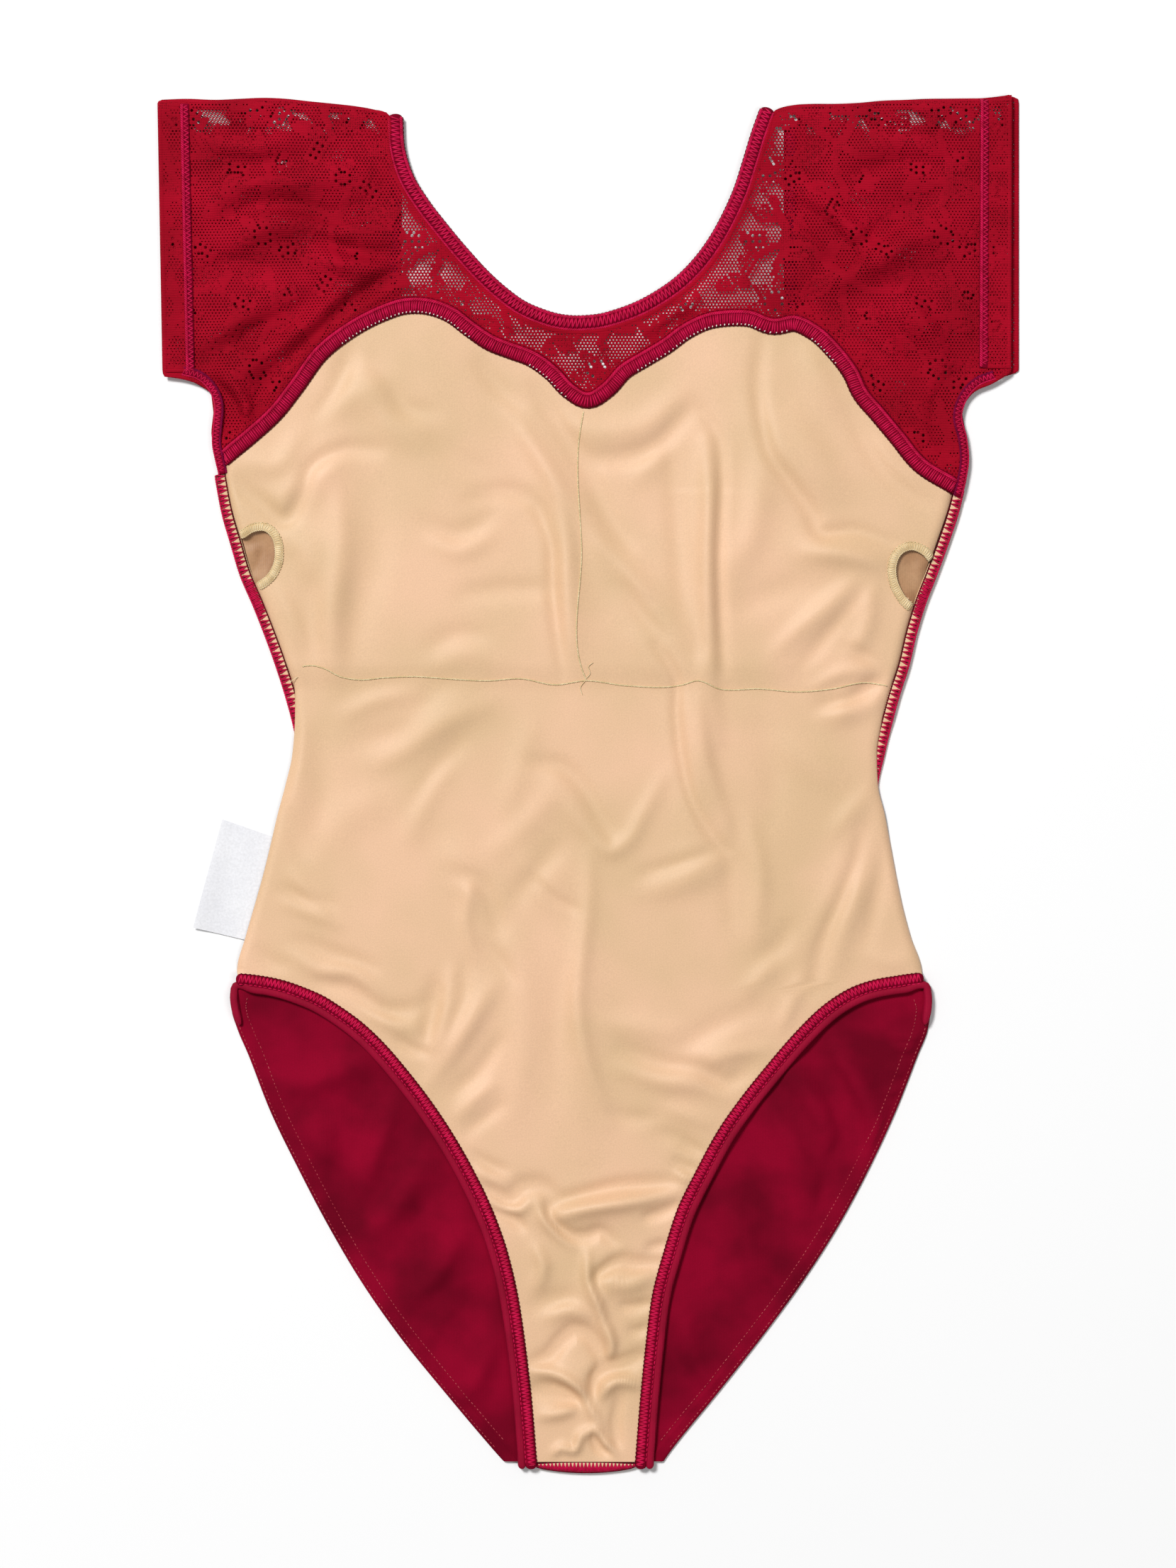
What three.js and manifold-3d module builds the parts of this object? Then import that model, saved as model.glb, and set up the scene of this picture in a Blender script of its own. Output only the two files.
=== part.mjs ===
// A lined bodysuit with lace cap sleeves, turned inside out and laid flat with its front up.
//
// Millimetres. +X is to the right, +Y is towards the neck and +Z is up. The garment lies on z = 0, and the
// origin is the middle of its outline. From below, its layers are the back, the front's outer shell, the facing
// that backs the bust, and the lining, which shows because the garment is inside out. The yoke and its cap
// sleeves are one width of lace, folded over at the shoulders.

import * as THREE from "three";
import { mergeVertices } from "three/addons/utils/BufferGeometryUtils.js";
import Module from "manifold-3d";

const wasm = await Module();
wasm.setup();

// ---------------------------------------------------------------- driving sizes

const GAP = 0.3; // between pieces that are sewn to each other
const CLOTH = 1.0; // thickness of every ply
const BINDING_TALL = 1.5; // the back neck's binding, and the back's turned hem
const HEM_WIDE = 8; // the turned hem round each leg at the back
const STACK = BINDING_TALL + GAP; // height at which the front lies on the back
const PLY = CLOTH + GAP; // height that each further layer adds
const ROLL = CLOTH; // plan thickness of the lining where it rolls down at a side

const CROTCH_Y = -334.7;
const LEVEL_Y = 100; // above this line the body's rows bend up to the yoke seam

const CUT_BELOW_YOKE = 2.5; // the lining's cut edge lies this far below the lace
const OVERLOCK = 4.8; // width of the sewn edge that lies on the lining at the yoke seam
const LEG_OVERLOCK = 5.2;
const LEG_ROLL = 3.6; // the elastic edge beyond the lining's cut
const SIDE_SEAM_WIDE = 4.6;
const NECK_WIDE = 7.2;
const UNDERARM_WIDE = 4.6;
const OPENING_WIDE = { near: 0.3, far: 3.6 }; // how far the pad openings' edges reach from the cut

// The open back: a U, straight down to y and then half an ellipse.
const SCOOP = { x: 2.5, y: 145, halfWidth: 94.5, deep: 85 };
const BACK_TOP = 150; // the back panel's upper edge
const BACK_SHOULDER = 326; // where the open back's binding ends
const BACK_NECK = SCOOP.halfWidth + NECK_WIDE + GAP;

// The two halves of the back lace, from the open back out to the sleeve's edge.
const BACK_LACE = {
  left: [
    { x: SCOOP.x - BACK_NECK, low: BACK_TOP + GAP, high: 327 },
    { x: -127.5, low: BACK_TOP + GAP, high: 331.5 },
    { x: -155.5, low: BACK_TOP + GAP, high: 334 },
    { x: -182, low: BACK_TOP + GAP, high: 335 },
    { x: -185.5, low: 192, high: 335 },
    { x: -194, low: 199, high: 335 },
    { x: -209, low: 204, high: 335.5 },
  ],
  right: [
    { x: SCOOP.x + BACK_NECK, low: BACK_TOP + GAP, high: 331 },
    { x: 132.5, low: BACK_TOP + GAP, high: 332.5 },
    { x: 160.5, low: BACK_TOP + GAP, high: 334 },
    { x: 186, low: BACK_TOP + GAP, high: 335 },
    { x: 186, low: 192, high: 335 },
    { x: 194.5, low: 199, high: 335 },
    { x: 212.5, low: 204, high: 335.5 },
  ],
};

// Where each side seam's allowance starts, and between which levels it turns from tucked under to standing out.
const SIDE_SEAM = {
  left: { top: 149.5, tucked: 46, free: 58 },
  right: { top: 145, tucked: 22, free: 36 },
};
const SIDE_SEAM_FOOT = -90;
const SIDE_SEAM_TALL = { tucked: 0.9, free: 2.4 };

// The crotch seam's line, and how far it reaches below it at its ends and in its middle.
const CROTCH_SEAM = [[-24.5, -335.4], [-12, -335.2], [0, -335.2], [12, -335.2], [22.5, -335.4]];
const CROTCH_DEEP = { ends: 3.4, middle: 5.2 };

// The care label's corners: away from the seam (out) and towards it (in), at its top and its foot.
const LABEL = { outTop: [-180.6, -17.4], outFoot: [-195, -71], inFoot: [-163.4, -78.6], inTop: [-150, -28.4] };

// Outline of the lining: its side edges, and below the hips its cut edges at the legs.
const BODY = [
  { y: 152, left: -179, right: 182.5 },
  { y: 135, left: -175.8, right: 178.3 },
  { y: 120, left: -171.5, right: 173.3 },
  { y: 105, left: -167, right: 167.8 },
  { y: 90, left: -160.6, right: 162 },
  { y: 75, left: -154.7, right: 157.5 },
  { y: 60, left: -149.3, right: 154 },
  { y: 45, left: -144.8, right: 149.2 },
  { y: 30, left: -144.9, right: 145.5 },
  { y: 15, left: -146, right: 143.2 },
  { y: 0, left: -149.3, right: 143.6 },
  { y: -15, left: -153.3, right: 147 },
  { y: -30, left: -156.8, right: 149.9 },
  { y: -45, left: -160.5, right: 152.7 },
  { y: -60, left: -164.7, right: 155.8 },
  { y: -75, left: -169, right: 159.8 },
  { y: -93, left: -173.5, right: 165.4 },
  { y: -96, left: -170, right: 164 },
  { y: -98.5, left: -162, right: 158 },
  { y: -101, left: -155, right: 146 },
  { y: -104, left: -146, right: 135.5 },
  { y: -108, left: -135.5, right: 127.5 },
  { y: -114, left: -125.5, right: 119 },
  { y: -122, left: -114.5, right: 110.5 },
  { y: -132, left: -104, right: 101.3 },
  { y: -144, left: -93.7, right: 91.2 },
  { y: -158, left: -82.8, right: 80 },
  { y: -174, left: -72, right: 68.8 },
  { y: -192, left: -61.6, right: 59 },
  { y: -212, left: -52, right: 49.2 },
  { y: -232, left: -44.8, right: 42.8 },
  { y: -254, left: -39.6, right: 37 },
  { y: -278, left: -36, right: 33.9 },
  { y: -304, left: -33, right: 31.3 },
  { y: -335, left: -30.4, right: 28.8 },
];

// Side seams. Above the waist they lie at the lining's edge, and below it they are tucked underneath.
const SEAM = [
  { y: 152, left: -179, right: 182.5 },
  { y: 135, left: -175.8, right: 178.3 },
  { y: 120, left: -171.5, right: 173.3 },
  { y: 105, left: -167, right: 167.8 },
  { y: 90, left: -160.6, right: 162 },
  { y: 75, left: -154.7, right: 157.5 },
  { y: 60, left: -149.3, right: 154 },
  { y: 45, left: -144.6, right: 149.2 },
  { y: 30, left: -140.6, right: 145.2 },
  { y: 15, left: -138, right: 141.6 },
  { y: 0, left: -138, right: 138.4 },
  { y: -15, left: -140.5, right: 137.6 },
  { y: -30, left: -144, right: 138.4 },
  { y: -60, left: -151.5, right: 143 },
  { y: -92, left: -161, right: 151.5 },
];

// Outline of the back below the side seams: the hips, the hemmed leg edges and the crotch.
const SEAT = [
  { y: -92, left: -161, right: 151.5 },
  { y: -97.5, left: -165, right: 157.5 },
  { y: -101, left: -172.5, right: 165.3 },
  { y: -105, left: -175.5, right: 168.5 },
  { y: -111, left: -176, right: 169.6 },
  { y: -121, left: -173.2, right: 168.3 },
  { y: -134, left: -167.7, right: 163.3 },
  { y: -162, left: -156.8, right: 152.3 },
  { y: -190, left: -143.2, right: 139.3 },
  { y: -218, left: -128.5, right: 124.3 },
  { y: -246, left: -112, right: 106.4 },
  { y: -274, left: -92.4, right: 85.8 },
  { y: -302, left: -69.7, right: 63.7 },
  { y: -330, left: -46, right: 41 },
  { y: -335, left: -41.5, right: 37.5 },
];

// Ribs of the lace, from its lower edge to its upper edge. The lower edge runs along the left sleeve, the underarm,
// the sweetheart seam and the right sleeve, and the upper edge runs along the shoulders and the neckline.
const RIBS = [
  { lowX: -209, lowY: 201.5, highX: -212, highY: 338 },
  { lowX: -199, lowY: 200, highX: -198, highY: 338.5 },
  { lowX: -190, lowY: 196.5, highX: -184, highY: 338 },
  { lowX: -184, lowY: 190.5, highX: -172, highY: 338.5 },
  { lowX: -184.8, lowY: 181, highX: -160, highY: 339 },
  { lowX: -185.3, lowY: 171, highX: -149, highY: 338.5 },
  { lowX: -181.8, lowY: 163.5, highX: -138, highY: 337.3 },
  { lowX: -169, lowY: 174, highX: -127, highY: 336.2 },
  { lowX: -156, lowY: 186, highX: -116, highY: 335 },
  { lowX: -147, lowY: 197.5, highX: -107, highY: 333.5 },
  { lowX: -133.5, lowY: 215.5, highX: -99, highY: 331 },
  { lowX: -118, lowY: 227.5, highX: -97.6, highY: 312 },
  { lowX: -103, lowY: 235.3, highX: -93, highY: 297.5 },
  { lowX: -91, lowY: 239.2, highX: -85.5, highY: 285 },
  { lowX: -79, lowY: 239.2, highX: -75.5, highY: 272 },
  { lowX: -66.5, lowY: 235, highX: -65, highY: 259.5 },
  { lowX: -55.5, lowY: 227, highX: -54, highY: 247.6 },
  { lowX: -46.5, lowY: 221, highX: -44, highY: 238.7 },
  { lowX: -37.5, lowY: 217.5, highX: -34.5, highY: 232 },
  { lowX: -26.5, lowY: 213.4, highX: -25, highY: 227.8 },
  { lowX: -15.3, lowY: 205.5, highX: -15.5, highY: 225 },
  { lowX: -6.5, lowY: 196.5, highX: -6.5, highY: 224 },
  { lowX: 0, lowY: 193, highX: 0, highY: 224.2 },
  { lowX: 7, lowY: 197, highX: 7, highY: 225 },
  { lowX: 16, lowY: 206.5, highX: 17, highY: 227.7 },
  { lowX: 26.5, lowY: 213, highX: 28, highY: 232 },
  { lowX: 36.5, lowY: 219, highX: 38, highY: 237.5 },
  { lowX: 47, lowY: 226.6, highX: 48.5, highY: 245 },
  { lowX: 58, lowY: 231.7, highX: 58, highY: 254.5 },
  { lowX: 70, lowY: 233.5, highX: 66.5, highY: 266 },
  { lowX: 81, lowY: 233, highX: 73.5, highY: 278.5 },
  { lowX: 91.5, lowY: 229.3, highX: 79.3, highY: 291.5 },
  { lowX: 102.5, lowY: 230.8, highX: 84, highY: 306 },
  { lowX: 112.5, lowY: 226.4, highX: 88.3, highY: 320 },
  { lowX: 125, lowY: 214.8, highX: 93, highY: 333 },
  { lowX: 133, lowY: 204, highX: 101, highY: 335.3 },
  { lowX: 137.5, lowY: 194.5, highX: 111, highY: 336 },
  { lowX: 145.5, lowY: 185, highX: 122, highY: 336 },
  { lowX: 155.5, lowY: 173, highX: 134, highY: 336.5 },
  { lowX: 165.5, lowY: 160.8, highX: 146, highY: 337.6 },
  { lowX: 183.5, lowY: 149.5, highX: 157, highY: 338 },
  { lowX: 187.5, lowY: 159, highX: 168, highY: 338.5 },
  { lowX: 187, lowY: 171, highX: 178, highY: 338.6 },
  { lowX: 184.5, lowY: 184, highX: 187, highY: 338.7 },
  { lowX: 191, lowY: 194, highX: 195, highY: 338.8 },
  { lowX: 199.5, lowY: 197.8, highX: 202, highY: 339.5 },
  { lowX: 209, lowY: 203.5, highX: 209.5, highY: 340.5 },
];
const HEM_RIB = 1.1; // the sleeve hems reach this many ribs in from each sleeve's edge
const SEAM_RIBS = { first: 6, last: 40 }; // the ribs that start on the sweetheart seam
const NECK_RIBS = { first: 10, last: 34 }; // the ribs that end on the neckline

// Soft folds that lift the front. Each is a ridge round (x, y), turned from +X by so many degrees, with its half
// length and half width, its height, and how much it bends sideways at its ends.
const BODY_FOLDS = [
  { x: 51, y: 18, turn: 96, long: 75, wide: 9, tall: 3.0, bend: 4 },
  { x: 62, y: 128, turn: 90, long: 62, wide: 9, tall: 2.4, bend: -3 },
  { x: -10, y: 108, turn: 100, long: 62, wide: 10, tall: 2.4, bend: 8 },
  { x: 27, y: 96, turn: -56, long: 48, wide: 9, tall: 1.8, bend: -6 },
  { x: -129, y: 96, turn: 88, long: 60, wide: 11, tall: 2.2, bend: 3 },
  { x: -136, y: 150, turn: 42, long: 34, wide: 9, tall: 2.8, bend: 6 },
  { x: -113, y: 194, turn: 24, long: 30, wide: 10, tall: 2.4, bend: -5 },
  { x: 97, y: 163, turn: -54, long: 44, wide: 10, tall: 2.8, bend: 9 },
  { x: 122, y: 114, turn: -6, long: 38, wide: 10, tall: 2.4, bend: 4 },
  { x: 123, y: 86, turn: 36, long: 32, wide: 8, tall: 2.0, bend: 0 },
  { x: 130, y: 40, turn: 34, long: 24, wide: 9, tall: 2.8, bend: 4 },
  { x: -76, y: 34, turn: 26, long: 34, wide: 9, tall: 2.0, bend: 3 },
  { x: -12, y: -6, turn: -38, long: 30, wide: 10, tall: 1.8, bend: 0 },
  { x: -57, y: -48, turn: -52, long: 30, wide: 9, tall: 2.4, bend: 4 },
  { x: -24, y: -46, turn: -46, long: 26, wide: 9, tall: 2.0, bend: 0 },
  { x: -4, y: -128, turn: 91, long: 78, wide: 12, tall: 2.2, bend: -4 },
  { x: 52, y: -40, turn: 20, long: 28, wide: 9, tall: 1.8, bend: 0 },
  { x: 128, y: -52, turn: 66, long: 46, wide: 10, tall: 2.4, bend: 5 },
  { x: -62, y: -116, turn: 62, long: 34, wide: 9, tall: 2.6, bend: 4 },
  { x: 58, y: -136, turn: 32, long: 34, wide: 9, tall: 2.4, bend: 5 },
  { x: 2, y: -208, turn: 6, long: 40, wide: 9, tall: 3.2, bend: -3 },
  { x: 6, y: -246, turn: 62, long: 24, wide: 8, tall: 2.4, bend: 5 },
  { x: -4, y: -292, turn: -24, long: 20, wide: 8, tall: 2.4, bend: 3 },
];
const LACE_FOLDS = [
  { x: -160, y: 278, turn: 3, long: 52, wide: 12, tall: 2.6, bend: 4 },
  { x: -122, y: 258, turn: 30, long: 46, wide: 11, tall: 2.8, bend: -5 },
  { x: -160, y: 307, turn: -3, long: 48, wide: 11, tall: 1.8, bend: 2 },
  { x: -172, y: 208, turn: -52, long: 26, wide: 9, tall: 3.2, bend: 3 },
  { x: 150, y: 262, turn: 17, long: 55, wide: 12, tall: 3.0, bend: -4 },
  { x: 150, y: 306, turn: 8, long: 48, wide: 12, tall: 2.0, bend: 3 },
  { x: 158, y: 226, turn: -14, long: 36, wide: 11, tall: 2.4, bend: 2 },
  { x: 104, y: 252, turn: 52, long: 24, wide: 9, tall: 2.0, bend: 0 },
];

// How the lining rolls down at its sides: distance in from the edge and share of the full height, for the outer
// and inner faces of the wall.
const SIDE_ROLL = [
  { out: 0, outTall: 0, in: ROLL, inTall: 0 },
  { out: 0.1, outTall: 0.45, in: ROLL + 0.1, inTall: 0.4 },
  { out: 1.4, outTall: 0.84, in: 2.3, inTall: 0.82 },
  { out: 5, outTall: 1, in: 5, inTall: 1 },
];
// Height of the lining's lower lip at each side: above the back down to the waist, and then on the surface, but
// for the stretch where the care label comes out.
const SIDE_LIP = [
  { y: -14, left: PLY, right: PLY },
  { y: -30, left: PLY, right: 0 },
  { y: -87, left: PLY, right: 0 },
  { y: -93, left: 0, right: 0 },
];

const COLOURS = {
  lining: 0xe6c6a0,
  facing: 0xb98f6a,
  jersey: 0x8c0a2a,
  lace: 0xb01028,
  overlock: 0xb30c46,
  sideSeam: 0xc2455a,
  openingEdge: 0xe8d5ab,
  label: 0xf2f2f4,
};

// ---------------------------------------------------------------- curves and tables

// 0 up to `from`, 1 from `to` on, and smooth between them.
const ease = (value, from, to) => THREE.MathUtils.smoothstep(value, from, to);

// A smooth function through a table's rows, from one named column to another, that overshoots no row.
function smooth(rows, from, to) {
  const sorted = [...rows].sort((a, b) => a[from] - b[from]);
  const at = sorted.map((row) => row[from]);
  const value = sorted.map((row) => row[to]);
  const slope = at.slice(1).map((t, i) => (value[i + 1] - value[i]) / (t - at[i]));
  const tangent = at.map((_, i) => {
    if (i === 0) return slope[0];
    if (i === at.length - 1) return slope[i - 1];
    if (slope[i - 1] * slope[i] <= 0) return 0;
    return 2 / (1 / slope[i - 1] + 1 / slope[i]);
  });
  return (t) => {
    const inside = THREE.MathUtils.clamp(t, at[0], at[at.length - 1]);
    let i = 0;
    while (i < at.length - 2 && inside > at[i + 1]) i++;
    const span = at[i + 1] - at[i];
    const s = (inside - at[i]) / span;
    const start = (1 + 2 * s) * (1 - s) ** 2 * value[i] + s * (1 - s) ** 2 * span * tangent[i];
    const end = s * s * (3 - 2 * s) * value[i + 1] - s * s * (1 - s) * span * tangent[i + 1];
    return start + end;
  };
}

// Evenly spaced points on a smooth line through some points.
function spaced(points, count) {
  const nodes = points.map(([x, y]) => new THREE.Vector3(x, y, 0));
  return new THREE.CatmullRomCurve3(nodes, false, "centripetal").getSpacedPoints(count);
}

// The unit normal to the left of a line at each of its points.
function normals(line) {
  return line.map((_, i) => {
    const before = line[Math.max(i - 1, 0)];
    const after = line[Math.min(i + 1, line.length - 1)];
    const along = new THREE.Vector3().subVectors(after, before).normalize();
    return new THREE.Vector3(-along.y, along.x, 0);
  });
}

// A line moved to its left by a distance.
function moved(line, distance) {
  const left = normals(line);
  return line.map((p, i) => p.clone().addScaledVector(left[i], distance));
}

// The height of a table of folds at a point.
function lift(folds, x, y) {
  return folds.reduce((sum, fold) => {
    const turn = THREE.MathUtils.degToRad(fold.turn);
    const along = ((x - fold.x) * Math.cos(turn) + (y - fold.y) * Math.sin(turn)) / fold.long;
    if (Math.abs(along) >= 1) return sum;
    const side = (y - fold.y) * Math.cos(turn) - (x - fold.x) * Math.sin(turn);
    const across = (side - fold.bend * along * along) / fold.wide;
    return sum + fold.tall * (1 - along * along) ** 2 * Math.exp(-across * across);
  }, 0);
}

// ---------------------------------------------------------------- solids

// A closed geometry whose faces point out.
function closed(position, index) {
  const corner = (i) => new THREE.Vector3().fromArray(position, 3 * i);
  let volume = 0;
  for (let i = 0; i < index.length; i += 3) {
    const [a, b, c] = [corner(index[i]), corner(index[i + 1]), corner(index[i + 2])];
    volume += a.dot(b.cross(c));
  }
  const geometry = new THREE.BufferGeometry();
  geometry.setAttribute("position", new THREE.Float32BufferAttribute(position, 3));
  geometry.setIndex(volume < 0 ? [...index].reverse() : index);
  return geometry;
}

// A wall of cloth between two grids of points, the outer face and the inner face.
function wall(over, under) {
  const rows = over.length;
  const columns = over[0].length;
  const position = [...over.flat(), ...under.flat()].flatMap((p) => p.toArray());
  const index = [];
  const quad = (a, b, c, d) => index.push(a, b, c, a, c, d);
  const top = (i, j) => i * columns + j;
  const bottom = (i, j) => (rows + i) * columns + j;
  for (let i = 0; i < rows - 1; i++) {
    for (let j = 0; j < columns - 1; j++) {
      quad(top(i, j), top(i, j + 1), top(i + 1, j + 1), top(i + 1, j));
      quad(bottom(i, j), bottom(i + 1, j), bottom(i + 1, j + 1), bottom(i, j + 1));
    }
    quad(top(i, 0), top(i + 1, 0), bottom(i + 1, 0), bottom(i, 0));
    quad(top(i + 1, columns - 1), top(i, columns - 1), bottom(i, columns - 1), bottom(i + 1, columns - 1));
  }
  for (let j = 0; j < columns - 1; j++) {
    quad(top(0, j + 1), top(0, j), bottom(0, j), bottom(0, j + 1));
    quad(top(rows - 1, j), top(rows - 1, j + 1), bottom(rows - 1, j + 1), bottom(rows - 1, j));
  }
  return closed(position, index);
}

// A band swept along a line. section(share) gives the band's outline as [left, height] pairs, where left is
// measured to the left of the line and share runs from 0 to 1 along it. The band lies on a base(x, y), which
// is read no further to the left or right than `within` allows.
function band(line, section, base = () => 0, within = [-Infinity, Infinity]) {
  const left = normals(line);
  const rings = line.map((p, k) => section(k / (line.length - 1)).map(([side, height]) => {
    const point = p.clone().addScaledVector(left[k], side);
    const foot = p.clone().addScaledVector(left[k], THREE.MathUtils.clamp(side, ...within));
    return point.setZ(base(foot.x, foot.y) + height);
  }));
  const size = rings[0].length;
  const position = rings.flat().flatMap((p) => p.toArray());
  const index = [];
  for (let k = 0; k < rings.length - 1; k++) {
    for (let i = 0; i < size; i++) {
      const [a, b] = [k * size + i, k * size + ((i + 1) % size)];
      index.push(a, b, b + size, a, b + size, a + size);
    }
  }
  const last = (rings.length - 1) * size;
  for (const [k, start] of [[0, 0], [rings.length - 1, last]]) {
    const outline = section(k ? 1 : 0).map(([side, height]) => new THREE.Vector2(side, height));
    const flip = THREE.ShapeUtils.isClockWise(outline) === (k === 0);
    for (const face of THREE.ShapeUtils.triangulateShape(outline, [])) {
      const [a, b, c] = flip ? face : [...face].reverse();
      index.push(start + a, start + b, start + c);
    }
  }
  return closed(position, index);
}

function manifoldOf(geometry) {
  const bare = geometry.clone();
  bare.deleteAttribute("normal");
  bare.deleteAttribute("uv");
  const merged = mergeVertices(bare, 1e-3);
  return new wasm.Manifold(new wasm.Mesh({
    numProp: 3,
    vertProperties: merged.attributes.position.array,
    triVerts: new Uint32Array(merged.index.array),
  }));
}

// A geometry with the space over an outline cut out of it.
function cutOut(geometry, outline) {
  const shape = new THREE.Shape(outline.map((p) => new THREE.Vector2(p.x, p.y)));
  const prism = new THREE.ExtrudeGeometry(shape, { depth: 40, bevelEnabled: false, steps: 1 });
  prism.translate(0, 0, -20);
  const { vertProperties, triVerts } = manifoldOf(geometry).subtract(manifoldOf(prism)).getMesh();
  return closed(Array.from(vertProperties), Array.from(triVerts));
}

const suit = new THREE.Group();
suit.name = "bodysuit";

function add(name, geometry, colour, roughness = 0.8) {
  const mesh = new THREE.Mesh(geometry, new THREE.MeshStandardMaterial({ color: colour, roughness }));
  mesh.name = name;
  suit.add(mesh);
}

// The height of a node's upper face at a point, or beside it, from which what lies on that node is made.
const NUDGES = [0, 0.4, 0.8, 1.6, 2.6].flatMap((far) => [0, 1, 2, 3, 4, 5, 6, 7].map((eighth) =>
  [far * Math.cos((eighth * Math.PI) / 4), far * Math.sin((eighth * Math.PI) / 4)]));
function topOf(name) {
  const mesh = suit.getObjectByName(name);
  const ray = new THREE.Raycaster();
  const down = new THREE.Vector3(0, 0, -1);
  return (x, y) => {
    for (const [dx, dy] of NUDGES) {
      ray.set(new THREE.Vector3(x + dx, y + dy, 50), down);
      const hit = ray.intersectObject(mesh)[0];
      if (hit) return hit.point.z;
    }
    throw new Error(`nothing of ${name} lies near ${x}, ${y}`);
  };
}

// ---------------------------------------------------------------- how the layers lie

// How far a point is inside the open back's edge.
function insideScoop(x, y) {
  const across = Math.abs(x - SCOOP.x);
  if (y > SCOOP.y) return SCOOP.halfWidth - across;
  const ratio = Math.hypot(across / SCOOP.halfWidth, (SCOOP.y - y) / SCOOP.deep);
  return (1 - ratio) * SCOOP.deep;
}

// The underside of the front: on the back, or on the surface below where the back is open.
const rest = (x, y) => STACK * (1 - ease(insideScoop(x, y), 8, 60));

// The lining's cut edge along the sweetheart seam: one point under each rib of the lace.
const yokeEdge = RIBS.slice(SEAM_RIBS.first, SEAM_RIBS.last + 1)
  .map((rib) => new THREE.Vector3(rib.lowX, rib.lowY, 0));
const liningCut = moved(yokeEdge, -CUT_BELOW_YOKE);

// The height of a line at x, straight from point to point.
function heightAlong(line, x) {
  const after = THREE.MathUtils.clamp(line.filter((p) => p.x <= x).length, 1, line.length - 1);
  const [a, b] = [line[after - 1], line[after]];
  return THREE.MathUtils.mapLinear(x, a.x, b.x, a.y, b.y);
}

const bodyEdge = { left: smooth(BODY, "y", "left"), right: smooth(BODY, "y", "right") };
const seamEdge = { left: smooth(SEAM, "y", "left"), right: smooth(SEAM, "y", "right") };
const seatEdge = { left: smooth(SEAT, "y", "left"), right: smooth(SEAT, "y", "right") };
const lipTall = { left: smooth(SIDE_LIP, "y", "left"), right: smooth(SIDE_LIP, "y", "right") };
const HIP_Y = -93; // where each side ends and the leg edge begins

// ---------------------------------------------------------------- the front's layers

const LEVELS = [
  CROTCH_Y, -318, -302, -286, -270, -255, -241, -227, -214, -201, -188, -174, -160, -146, -134, -124, -115, -108,
  -103, -99, -96, HIP_Y, -86, -72, -56, -40, -25, -10, 4, 18, 32, 45, 60, 74, 87, LEVEL_Y,
];
const BENDS = [0.2, 0.4, 0.58, 0.74, 0.86, 1]; // shares of the way from the level line to the cut edge
const BUST_Y = 60; // the facing reaches from here up
const BUST_TOP = 0.86;
const ROLL_END = SIDE_ROLL.at(-1).out;

// Plan position of a point of the front: `share` of the way across it, at a level or at a bend above the levels.
const cornerX = { left: BODY[0].left, right: BODY[0].right };
const cornerY = { left: heightAlong(liningCut, cornerX.left), right: heightAlong(liningCut, cornerX.right) };
function sideAt(side, level, bend) {
  const y = bend ? THREE.MathUtils.lerp(LEVEL_Y, cornerY[side], bend) : level;
  return { x: bodyEdge[side](y), lip: lipTall[side](y) };
}
const heightAt = (x, level, bend) => (bend ? THREE.MathUtils.lerp(LEVEL_Y, heightAlong(liningCut, x), bend) : level);

// Shares across the lining between its rolled sides, one for each rib of the lace above.
const SHARES = liningCut.slice(1, -1).map((p) =>
  THREE.MathUtils.mapLinear(p.x, cornerX.left + ROLL_END, cornerX.right - ROLL_END, 0, 1));
const COLUMNS = [
  ...SIDE_ROLL.map((roll) => ({ side: "left", roll })),
  ...SHARES.map((share) => ({ share, roll: SIDE_ROLL.at(-1) })),
  ...[...SIDE_ROLL].reverse().map((roll) => ({ side: "right", roll })),
];

// One node of the lining's grid.
function liningNode({ side, share, roll }, level, bend) {
  const [left, right] = [sideAt("left", level, bend), sideAt("right", level, bend)];
  const place = (distance) => {
    if (side === "left") return left.x + distance;
    if (side === "right") return right.x - distance;
    return THREE.MathUtils.lerp(left.x + ROLL_END, right.x - ROLL_END, share);
  };
  const at = (x) => [x, heightAt(x, level, bend)];
  const [x, y] = at(place(roll.out));
  const fromEdge = Math.min(x - left.x, right.x - x, heightAlong(liningCut, x) - y, y - CROTCH_Y);
  return {
    over: at(place(roll.out)),
    under: at(place(roll.in)),
    share: level < HIP_Y ? { over: 1, under: 1 } : { over: roll.outTall, under: roll.inTall },
    lip: side === "left" ? left.lip : right.lip,
    lift: lift(BODY_FOLDS, x, y) * ease(fromEdge, 9, 26),
    plies: bend || level >= BUST_Y ? 2 : 1,
  };
}

function liningFace(face, height) {
  const row = (level, bend) => COLUMNS.map((column) => {
    const node = liningNode(column, level, bend);
    const [x, y] = node[face];
    const full = rest(x, y) + node.lift + PLY * node.plies + height;
    return new THREE.Vector3(x, y, THREE.MathUtils.lerp(node.lip, full, node.share[face]));
  });
  return [...LEVELS.map((level) => row(level, 0)), ...BENDS.map((bend) => row(LEVEL_Y, bend))];
}

// Half a rounded opening, where a pad goes in between the lining and the facing, as a line from seam to seam.
const PAD_OPENINGS = {
  left: [[-176, 121], [-170, 121.5], [-164.5, 124.6], [-159.5, 125], [-155.6, 121.5], [-154, 115], [-155, 108],
    [-159, 102], [-164, 99], [-171, 97]],
  right: [[176, 105], [169.5, 109], [165, 113.6], [160, 115.6], [155.4, 114], [152.4, 109], [152.2, 102.6],
    [154.4, 96], [158.4, 90.4], [163, 87.2], [170, 86]],
};

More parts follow.
